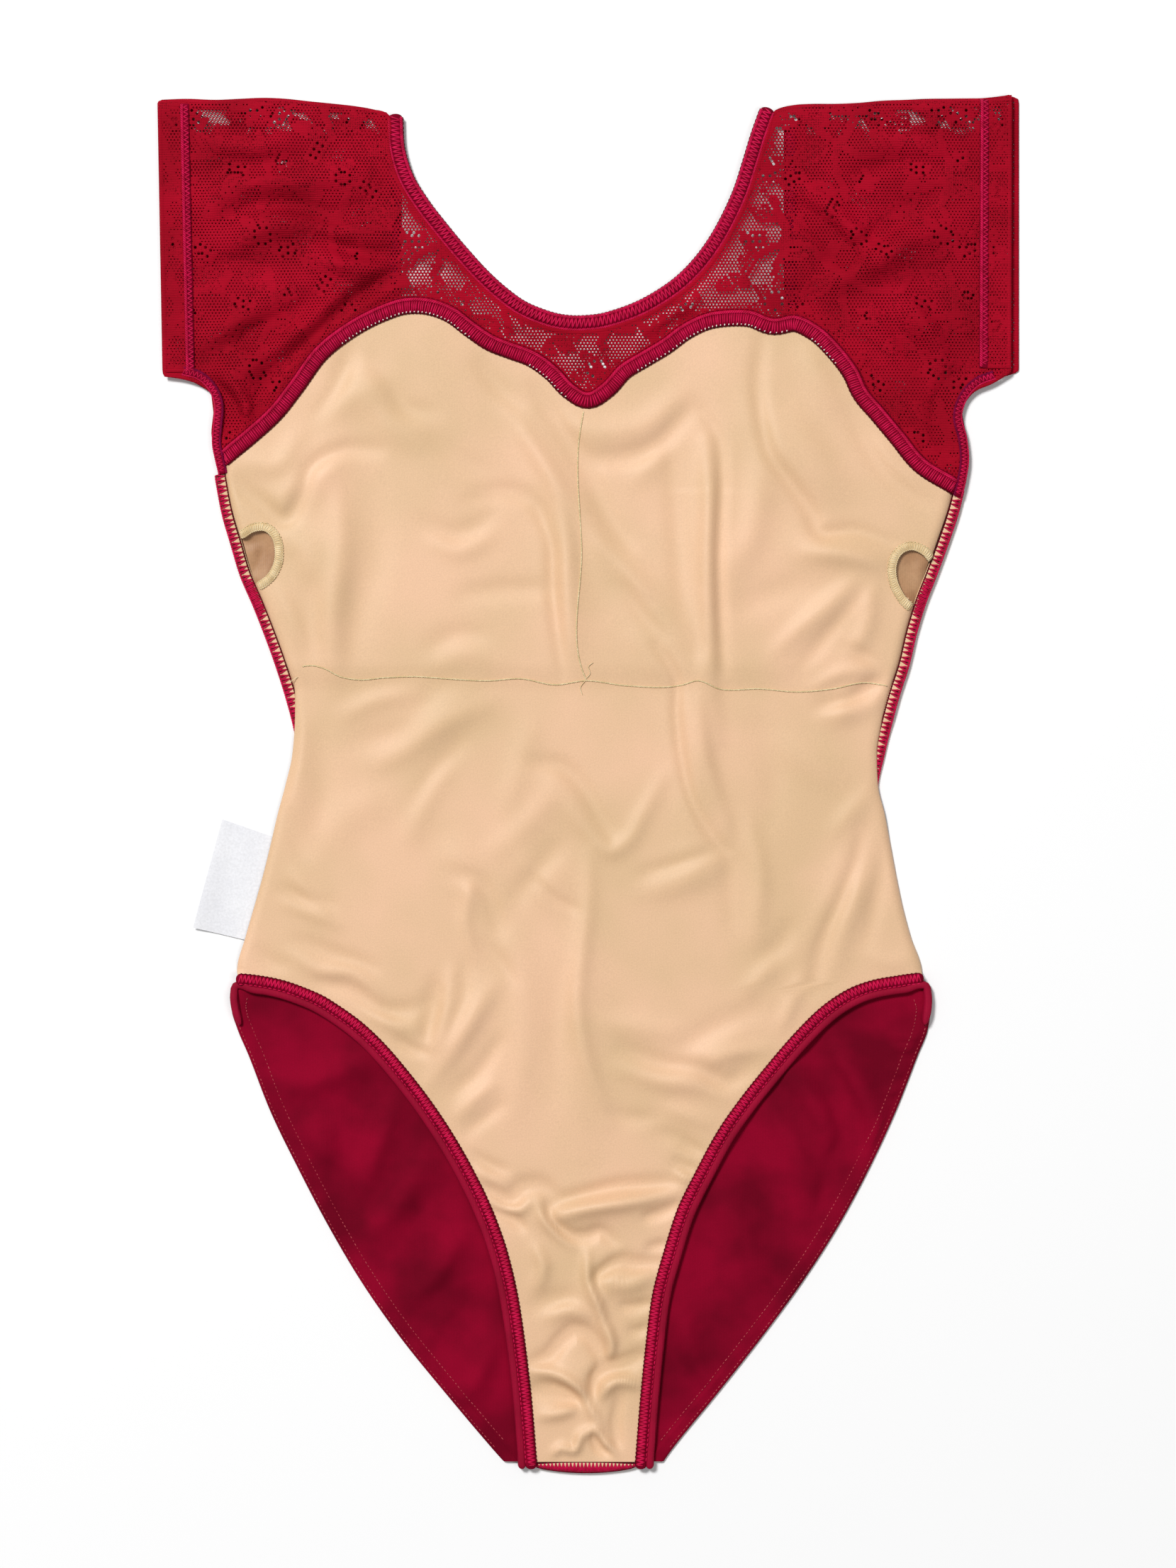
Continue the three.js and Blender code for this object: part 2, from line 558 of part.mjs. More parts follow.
function addLining() {
  const whole = wall(liningFace("over", CLOTH), liningFace("under", 0));
  const opened = Object.values(PAD_OPENINGS).reduce((cut, points) => cutOut(cut, spaced(points, 16)), whole);
  add("front_lining", opened, COLOURS.lining, 0.45);
}

// A hidden ply of the front, which lies flat under the lining.
function addPly(name, levels, bends, foot, colour) {
  const across = Array.from({ length: 19 }, (_, i) => i / 18);
  const grid = (height) => [...levels.map((level) => [level, 0]), ...bends.map((bend) => [LEVEL_Y, bend])]
    .map(([level, bend]) => across.map((share) => {
      const [left, right] = [sideAt("left", level, bend), sideAt("right", level, bend)];
      const x = THREE.MathUtils.lerp(left.x + ROLL_END + GAP, right.x - ROLL_END - GAP, share);
      const y = heightAt(x, level, bend);
      return new THREE.Vector3(x, y, rest(x, y) + height);
    }));
  add(name, wall(grid(foot + CLOTH), grid(foot)), colour);
}

function addShell() {
  const levels = [
    CROTCH_Y, -302, -270, -241, -214, -188, -160, -134, -115, -103, -96, HIP_Y, -56, -25, 4, 32, 60, 80, LEVEL_Y,
  ];
  addPly("front_shell", levels, [0.25, 0.5, 0.75, 0.95], 0, COLOURS.jersey);
}

function addFacing() {
  addPly("bust_facing", [BUST_Y + 2, 80, LEVEL_Y], [0.25, 0.5, 0.75, 0.93], PLY, COLOURS.facing);
}

// ---------------------------------------------------------------- the back

const SEAT_LEVELS = [
  CROTCH_Y, -318, -302, -288, -274, -260, -246, -218, -190, -162, -140, -121, -111, -105, -101, -97.5,
];
const BACK_LEVELS = [-92, -60, -30, -15, 0, 15, 30, 45, 60, 75, 90, 105, 120, 135, BACK_TOP];
const BACK_SPREAD = [0.2, 0.4, 0.6, 0.8];

function addBack() {
  const edge = [0, HEM_WIDE, HEM_WIDE + 3];
  const inner = edge.at(-1);
  const row = (left, right, y, hem) => {
    const spread = BACK_SPREAD.map((share) => THREE.MathUtils.lerp(left + inner, right - inner, share));
    const across = [...edge.map((d) => left + d), ...spread, ...edge.map((d) => right - d).reverse()];
    return across.map((x) => {
      const onHem = Math.min(x - left, right - x) < HEM_WIDE + GAP;
      return { x, y, tall: onHem && hem ? BINDING_TALL : CLOTH };
    });
  };
  const seat = SEAT_LEVELS.map((y) => row(seatEdge.left(y), seatEdge.right(y), y, true));
  const above = BACK_LEVELS.map((y) => row(seamEdge.left(y) + GAP, seamEdge.right(y) - GAP, y, false));
  const rows = [...seat, ...above];
  const over = rows.map((nodes) => nodes.map(({ x, y, tall }) => new THREE.Vector3(x, y, tall)));
  const under = rows.map((nodes) => nodes.map(({ x, y }) => new THREE.Vector3(x, y, 0)));
  const open = moved(scoopLine(26), -(NECK_WIDE + GAP));
  const rim = [...open, new THREE.Vector3(open.at(-1).x, 200, 0), new THREE.Vector3(open[0].x, 200, 0)];
  add("back_panel", cutOut(wall(over, under), rim), COLOURS.jersey);
}

// The open back's edge, down its left side, round and up its right side, from shoulder to shoulder.
function scoopLine(count, top = SCOOP.y + 30) {
  const { x, y, halfWidth, deep } = SCOOP;
  const round = Array.from({ length: count + 1 }, (_, i) => {
    const angle = Math.PI + (Math.PI * i) / count;
    return new THREE.Vector3(x + halfWidth * Math.cos(angle), y + deep * Math.sin(angle), 0);
  });
  return [new THREE.Vector3(x - halfWidth, top, 0), ...round, new THREE.Vector3(x + halfWidth, top, 0)];
}

// A plain flat binding round the open back, which the two halves of the back lace and the back panel meet.
function addBackBinding() {
  const sides = [BACK_SHOULDER, 290, 250, 210];
  const line = [
    ...sides.map((y) => new THREE.Vector3(SCOOP.x - SCOOP.halfWidth, y, 0)),
    ...scoopLine(26),
    ...sides.reverse().map((y) => new THREE.Vector3(SCOOP.x + SCOOP.halfWidth, y, 0)),
  ];
  add("back_neck_binding", band(line, () => [
    [0, 0], [0, BINDING_TALL * 0.7], [-1, BINDING_TALL], [-NECK_WIDE + 1, BINDING_TALL],
    [-NECK_WIDE, BINDING_TALL * 0.7], [-NECK_WIDE, 0],
  ]), COLOURS.overlock);
}

// A half of the back lace, flat, from the back panel's top edge to just inside the shoulder folds.
function addBackLace(side) {
  const columns = side === "left" ? [...BACK_LACE.left].reverse() : BACK_LACE.right;
  const grid = (z) => Array.from({ length: 7 }, (_, i) => columns.map(({ x, low, high }) =>
    new THREE.Vector3(x, THREE.MathUtils.lerp(low, high, i / 6), z)));
  add(`back_lace_${side}`, wall(grid(CLOTH), grid(0)), COLOURS.lace);
}

// ---------------------------------------------------------------- the front lace and its sleeves

const SHOULDER_ROLL = [0, 0.35, 0.62, 0.8, 0.9, 0.955, 0.98, 1]; // shares of the way up each rib
const rollTall = [1, 1, 1, 1, 1, 0.98, 0.82, 0]; // how much of its height the lace keeps at each of them

function lacePoint(rib, share) {
  return [THREE.MathUtils.lerp(rib.lowX, rib.highX, share), THREE.MathUtils.lerp(rib.lowY, rib.highY, share)];
}

// The height of the lace over its own underside at a rib and a share of the way up it.
function laceFolds(rib, share) {
  const [x, y] = lacePoint(rib, share);
  const long = Math.hypot(rib.highX - rib.lowX, rib.highY - rib.lowY);
  const outer = Math.min(x - RIBS[0].lowX, RIBS.at(-1).lowX - x);
  return lift(LACE_FOLDS, x, y) * ease(Math.min(share, 1 - share) * long, 5, 22) * ease(outer, 12, 26);
}

function addYoke() {
  const first = NECK_RIBS.first;
  const grid = (height, inset) => SHOULDER_ROLL.map((share, row) => RIBS.map((rib, k) => {
    const shoulder = k < first || k > NECK_RIBS.last;
    const reach = shoulder && row === SHOULDER_ROLL.length - 1 ? share - inset : share;
    const [x, y] = lacePoint(rib, reach);
    const keep = shoulder ? rollTall[row] : 1;
    const full = rest(x, y) + laceFolds(rib, share) + height;
    return new THREE.Vector3(x, y, full * keep);
  }));
  add("front_yoke", wall(grid(CLOTH, 0), grid(0, 0.007)), COLOURS.lace);
}

// A sleeve's turned hem: a strip that lies on the sleeve along its opening.
function addSleeveHem(side) {
  const ends = side === "left" ? [RIBS[0], RIBS[1]] : [RIBS.at(-2), RIBS.at(-1)];
  const across = side === "left" ? [0.04, 0.5, HEM_RIB] : [1 - HEM_RIB, 0.5, 0.96];
  const laceTop = topOf("front_yoke");
  const grid = (height) => Array.from({ length: 13 }, (_, i) => across.map((share) => {
    const up = THREE.MathUtils.lerp(0.02, 0.93, i / 12);
    const [x0, y0] = lacePoint(ends[0], up);
    const [x1, y1] = lacePoint(ends[1], up);
    const [x, y] = [THREE.MathUtils.lerp(x0, x1, share), THREE.MathUtils.lerp(y0, y1, share)];
    return new THREE.Vector3(x, y, laceTop(x, y) + height);
  }));
  add(`sleeve_hem_${side}`, wall(grid(GAP + CLOTH), grid(GAP)), COLOURS.lace);
}

// ---------------------------------------------------------------- sewn edges

// An overlocked edge: a flange that lies on the lining, and a heel that stands beyond the lining's cut. The line
// is the cut, and the lining is to its left.
function sewnEdge(line, flange, heel, foot) {
  const liningTop = topOf("front_lining");
  return band(line, (share) => {
    const wide = THREE.MathUtils.lerp(0.75, 1, ease(share, 0, 0.03) * ease(1 - share, 0, 0.03));
    return [
      [flange * wide, GAP], [flange * wide, GAP + 0.8], [flange * 0.5 * wide, GAP + 1.5], [-heel * 0.6, GAP + 1.1],
      [-heel, GAP - 0.4], [-heel, foot - PLY - CLOTH], [-GAP * 2.5, foot - PLY - CLOTH], [-GAP * 2.5, GAP],
    ];
  }, liningTop, [0.4, Infinity]);
}

// The cut edge of the lining along one leg, from the hip to the crotch.
function legCut(side) {
  const points = LEVELS.filter((level) => level < HIP_Y).map((level) => [bodyEdge[side](level), level]);
  const line = spaced(points, 46);
  return side === "left" ? line.reverse() : line;
}

function addYokeSeam() {
  const inner = liningCut.slice(1, -1);
  const start = inner[0].clone().lerp(liningCut[0], 0.55);
  const end = inner.at(-1).clone().lerp(liningCut.at(-1), 0.6);
  const line = [start, ...inner, end].reverse();
  add("yoke_seam", sewnEdge(line, OVERLOCK, CUT_BELOW_YOKE - GAP, -PLY), COLOURS.overlock);
}

function addLegBand(side) {
  add(`leg_band_${side}`, sewnEdge(legCut(side), LEG_OVERLOCK, LEG_ROLL, GAP), COLOURS.overlock);
}

// A side seam: its allowance stands out beside the lining above the waist, and is tucked under it below. Its line
// runs down, so that +X is to its left.
function addSideSeam(side) {
  const outward = side === "left" ? -1 : 1;
  const { top, tucked, free } = SIDE_SEAM[side];
  const level = (share) => THREE.MathUtils.lerp(top, SIDE_SEAM_FOOT, share);
  const line = Array.from({ length: 25 }, (_, i) => {
    const y = level(i / 24);
    return new THREE.Vector3(seamEdge[side](y), y, 0);
  });
  add(`side_seam_${side}`, band(line, (share) => {
    const tall = THREE.MathUtils.lerp(SIDE_SEAM_TALL.tucked, SIDE_SEAM_TALL.free, ease(level(share), tucked, free));
    return [
      [GAP, 0], [GAP, tall * 0.85], [SIDE_SEAM_WIDE * 0.5, tall], [SIDE_SEAM_WIDE, tall * 0.6], [SIDE_SEAM_WIDE, 0],
    ].map(([offset, height]) => [offset * outward, height]);
  }), COLOURS.sideSeam);
}

// The seam under each arm, on the lace, from the sleeve's hem to the top of the side seam.
function addUnderarmSeam(side) {
  const ribs = side === "left" ? RIBS.slice(2, SEAM_RIBS.first) : RIBS.slice(SEAM_RIBS.last + 1, -2).reverse();
  const points = ribs.map((rib) => lacePoint(rib, 0.02));
  const inward = side === "left" ? 1 : -1;
  add(`underarm_seam_${side}`, band(spaced(points, 14), () => [
    [0, GAP], [0, GAP + 0.8], [UNDERARM_WIDE / 2, GAP + 1.4], [UNDERARM_WIDE, GAP + 0.8], [UNDERARM_WIDE, GAP],
  ].map(([offset, height]) => [offset * inward, height]), topOf("front_yoke")), COLOURS.overlock);
}

// The neckline's binding, a folded band sewn to the lace's upper edge from shoulder to shoulder.
function addNeckBinding() {
  const line = RIBS.slice(NECK_RIBS.first, NECK_RIBS.last + 1)
    .map((rib) => new THREE.Vector3(rib.highX, rib.highY, 0));
  const [near, far] = [GAP, NECK_WIDE + GAP];
  add("neck_binding", band(line, () => [
    [near, 0], [near, 1.5], [near + 1.2, 2.1], [far - 1.4, 2.1], [far, 1.4], [far, 0],
  ], rest), COLOURS.overlock);
}

// The crotch seam, where the front's lower edge meets the back's.
function addCrotchSeam() {
  add("crotch_seam", band(spaced(CROTCH_SEAM, 12), (share) => {
    const deep = THREE.MathUtils.lerp(CROTCH_DEEP.ends, CROTCH_DEEP.middle, Math.sin(Math.PI * share));
    return [[0, 0], [0, 3.2], [-deep * 0.5, 3.6], [-deep, 2.2], [-deep, 0]];
  }), COLOURS.sideSeam);
}

// The overlocked edge round each pad opening, on the lining.
function addOpeningEdge(side) {
  const line = spaced(PAD_OPENINGS[side].slice(1, -1), 22).slice(2, -3);
  const outward = side === "left" ? 1 : -1;
  const { near, far } = OPENING_WIDE;
  add(`pad_opening_${side}`, band(line, () => [
    [near, GAP], [near, GAP + 0.7], [(near + far) / 2, GAP + 1.1], [far, GAP + 0.7], [far, GAP],
  ].map(([offset, height]) => [offset * outward, height]), topOf("front_lining")), COLOURS.openingEdge);
}

// The care label, which is sewn into the left side seam and lies on the surface. It is left blank.
function addCareLabel() {
  const grid = (z) => Array.from({ length: 6 }, (_, i) => Array.from({ length: 5 }, (_, j) => {
    const [up, across] = [i / 5, j / 4];
    const low = [0, 1].map((k) => THREE.MathUtils.lerp(LABEL.outFoot[k], LABEL.inFoot[k], across));
    const high = [0, 1].map((k) => THREE.MathUtils.lerp(LABEL.outTop[k], LABEL.inTop[k], across));
    return new THREE.Vector3(
      THREE.MathUtils.lerp(low[0], high[0], up), THREE.MathUtils.lerp(low[1], high[1], up), z);
  }));
  add("care_label", wall(grid(CLOTH), grid(0)), COLOURS.label, 0.5);
}

addBack();
addBackBinding();
["left", "right"].forEach(addBackLace);
addShell();
addFacing();
addLining();
addYoke();
["left", "right"].forEach(addSleeveHem);
addNeckBinding();
addYokeSeam();
["left", "right"].forEach(addSideSeam);
["left", "right"].forEach(addUnderarmSeam);
["left", "right"].forEach(addLegBand);
["left", "right"].forEach(addOpeningEdge);
addCrotchSeam();
addCareLabel();

export default suit;
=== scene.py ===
"""The looks of a lined lace-yoke bodysuit that is turned inside out and laid flat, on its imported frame.

Sizes are in millimetres in the frame's own axes, and turn into metres where a mesh is made.
"""

import math

import bpy
import numpy as np
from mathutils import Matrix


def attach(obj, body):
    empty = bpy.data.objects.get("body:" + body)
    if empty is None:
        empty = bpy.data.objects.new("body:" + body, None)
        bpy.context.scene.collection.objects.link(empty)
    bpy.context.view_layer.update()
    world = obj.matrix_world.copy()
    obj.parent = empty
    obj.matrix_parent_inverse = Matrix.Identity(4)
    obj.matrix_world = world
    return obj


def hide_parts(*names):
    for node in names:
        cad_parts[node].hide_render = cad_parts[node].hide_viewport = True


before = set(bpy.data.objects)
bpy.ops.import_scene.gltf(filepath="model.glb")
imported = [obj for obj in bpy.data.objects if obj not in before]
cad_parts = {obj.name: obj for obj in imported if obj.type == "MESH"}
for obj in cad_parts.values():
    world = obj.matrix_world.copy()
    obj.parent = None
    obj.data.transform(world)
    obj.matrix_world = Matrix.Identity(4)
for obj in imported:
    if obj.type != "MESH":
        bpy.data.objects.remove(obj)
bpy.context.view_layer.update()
MM = 0.001
# The way in towards the middle from each side.
INWARD = {"left": 1, "right": -1}

# ---------------------------------------------------------------- driving sizes, as in the part

GAP = 0.3
CLOTH = 1.0
STACK = 1.8
PLY = 1.3
HEM_WIDE = 8.0
CROTCH_Y = -334.7
HIP_Y = -93.0
LEVEL_Y = 100.0
BUST_Y = 60.0
CUT_BELOW_YOKE = 2.5
NECK_WIDE = 7.2
SCOOP_X, SCOOP_Y, SCOOP_HALF, SCOOP_DEEP = 2.5, 145.0, 94.5, 85.0
BACK_TOP, BACK_SHOULDER = 150.0, 326.0
LIP = 1.3

# ---------------------------------------------------------------- sizes of the looks

# How tall the folds and creases of each sheet are, over their height in the tables.
BODY_FOLD, LACE_FOLD = 0.85, 1.2
LACE_CREASE, SEAT_CREASE, POCKET_CREASE = 2.9, 3.4, 1.5
# How deep a trough can be in each sheet before it would reach what lies below.
LINING_TROUGH, LACE_TROUGH, BACK_TROUGH = 1.9, 1.4, 0.9
# The faces of the lace, over what it rests on, and of the back, with what its doubled leg edges add.
LACE_FACE, BACK_FACE, DOUBLED = 1.6, 1.4, 0.5
# How far the facing and the shell lie under the lining's face, and how much further in the pad openings.
FACING_UNDER, FACING_APART = 0.8, 0.7
SHELL_UNDER, SHELL_APART = 1.7, 2.2

# Outline of the lining, as (y, left x, right x).
BODY = [
    (152, -179, 182.5), (135, -175.8, 178.3), (120, -171.5, 173.3), (105, -167, 167.8), (90, -160.6, 162),
    (75, -154.7, 157.5), (60, -149.3, 154), (45, -144.8, 149.2), (30, -144.9, 145.5), (15, -146, 143.2),
    (0, -149.3, 143.6), (-15, -153.3, 147), (-30, -156.8, 149.9), (-45, -160.5, 152.7), (-60, -164.7, 155.8),
    (-75, -169, 159.8), (-93, -173.5, 165.4), (-96, -170, 164), (-98.5, -162, 158), (-101, -155, 146),
    (-104, -146, 135.5), (-108, -135.5, 127.5), (-114, -125.5, 119), (-122, -114.5, 110.5),
    (-132, -104, 101.3), (-144, -93.7, 91.2), (-158, -82.8, 80), (-174, -72, 68.8),
    (-192, -61.6, 59), (-212, -52, 49.2),
    (-232, -44.8, 42.8), (-254, -39.6, 37), (-278, -36, 33.9), (-304, -33, 31.3), (-335, -30.4, 28.8),
]
# Side seams, as (y, left x, right x).
SEAM = [
    *BODY[:7], (45, -144.6, 149.2), (30, -140.6, 145.2), (15, -138, 141.6), (0, -138, 138.4),
    (-15, -140.5, 137.6), (-30, -144, 138.4), (-60, -151.5, 143), (-92, -161, 151.5),
]
# Outline of the back below the side seams, as (y, left x, right x).
SEAT = [
    (-92, -161, 151.5), (-97.5, -165, 157.5), (-101, -172.5, 165.3), (-105, -175.5, 168.5),
    (-111, -176, 169.6), (-121, -173.2, 168.3), (-134, -167.7, 163.3), (-162, -156.8, 152.3),
    (-190, -143.2, 139.3),
    (-218, -128.5, 124.3), (-246, -112, 106.4), (-274, -92.4, 85.8), (-302, -69.7, 63.7), (-330, -46, 41),
    (-335, -41.5, 37.5),
]
# Ribs of the lace from its lower to its upper edge, as (low x, low y, high x, high y).
RIBS = [
    (-209, 201.5, -212, 338), (-199, 200, -198, 338.5), (-190, 196.5, -184, 338), (-184, 190.5, -172, 338.5),
    (-184.8, 181, -160, 339), (-185.3, 171, -149, 338.5), (-181.8, 163.5, -138, 337.3),
    (-169, 174, -127, 336.2), (-156, 186, -116, 335), (-147, 197.5, -107, 333.5),
    (-133.5, 215.5, -99, 331), (-118, 227.5, -97.6, 312),
    (-103, 235.3, -93, 297.5), (-91, 239.2, -85.5, 285), (-79, 239.2, -75.5, 272), (-66.5, 235, -65, 259.5),
    (-55.5, 227, -54, 247.6), (-46.5, 221, -44, 238.7), (-37.5, 217.5, -34.5, 232),
    (-26.5, 213.4, -25, 227.8),
    (-15.3, 205.5, -15.5, 225), (-6.5, 196.5, -6.5, 224), (0, 193, 0, 224.2), (7, 197, 7, 225),
    (16, 206.5, 17, 227.7), (26.5, 213, 28, 232), (36.5, 219, 38, 237.5), (47, 226.6, 48.5, 245),
    (58, 231.7, 58, 254.5), (70, 233.5, 66.5, 266), (81, 233, 73.5, 278.5), (91.5, 229.3, 79.3, 291.5),
    (102.5, 230.8, 84, 306), (112.5, 226.4, 88.3, 320), (125, 214.8, 93, 333), (133, 204, 101, 335.3),
    (137.5, 194.5, 111, 336), (145.5, 185, 122, 336), (155.5, 173, 134, 336.5), (165.5, 160.8, 146, 337.6),
    (183.5, 149.5, 157, 338), (187.5, 159, 168, 338.5), (187, 171, 178, 338.6), (184.5, 184, 187, 338.7),
    (191, 194, 195, 338.8), (199.5, 197.8, 202, 339.5), (209, 203.5, 209.5, 340.5),
]
# The ribs between which the lace is sewn to the lining below, and to the neck binding above.
SEAM_RIBS = slice(6, 41)
NECK_RIBS = slice(10, 35)

# Large folds, as (x, y, turn from +X, half length, half width, height, bend).
BODY_FOLDS = [
    (51, 18, 96, 75, 9, 3.0, 4), (62, 128, 90, 62, 9, 2.4, -3), (-10, 108, 100, 62, 10, 2.4, 8),
    (27, 96, -56, 48, 9, 1.8, -6), (-129, 96, 88, 60, 11, 2.2, 3), (-136, 150, 42, 34, 9, 2.8, 6),
    (-113, 194, 24, 30, 10, 2.4, -5), (97, 163, -54, 44, 10, 2.8, 9), (122, 114, -6, 38, 10, 2.4, 4),
    (123, 86, 36, 32, 8, 2.0, 0), (130, 40, 34, 24, 9, 2.8, 4), (-76, 34, 26, 34, 9, 2.0, 3),
    (-12, -6, -38, 30, 10, 1.8, 0), (-57, -48, -52, 30, 9, 2.4, 4), (-24, -46, -46, 26, 9, 2.0, 0),
    (-4, -128, 91, 78, 12, 2.2, -4), (52, -40, 20, 28, 9, 1.8, 0), (128, -52, 66, 46, 10, 2.4, 5),
    (-62, -116, 62, 34, 9, 2.6, 4), (58, -136, 32, 34, 9, 2.4, 5), (2, -208, 6, 40, 9, 3.2, -3),
    (6, -246, 62, 24, 8, 2.4, 5), (-4, -292, -24, 20, 8, 2.4, 3),
]
LACE_FOLDS = [
    (-160, 278, 3, 52, 12, 2.6, 4), (-122, 258, 30, 46, 11, 2.8, -5), (-160, 307, -3, 48, 11, 1.8, 2),
    (-172, 208, -52, 26, 9, 3.2, 3), (150, 262, 17, 55, 12, 3.0, -4), (150, 306, 8, 48, 12, 2.0, 3),
    (158, 226, -14, 36, 11, 2.4, 2), (104, 252, 52, 24, 9, 2.0, 0),
]
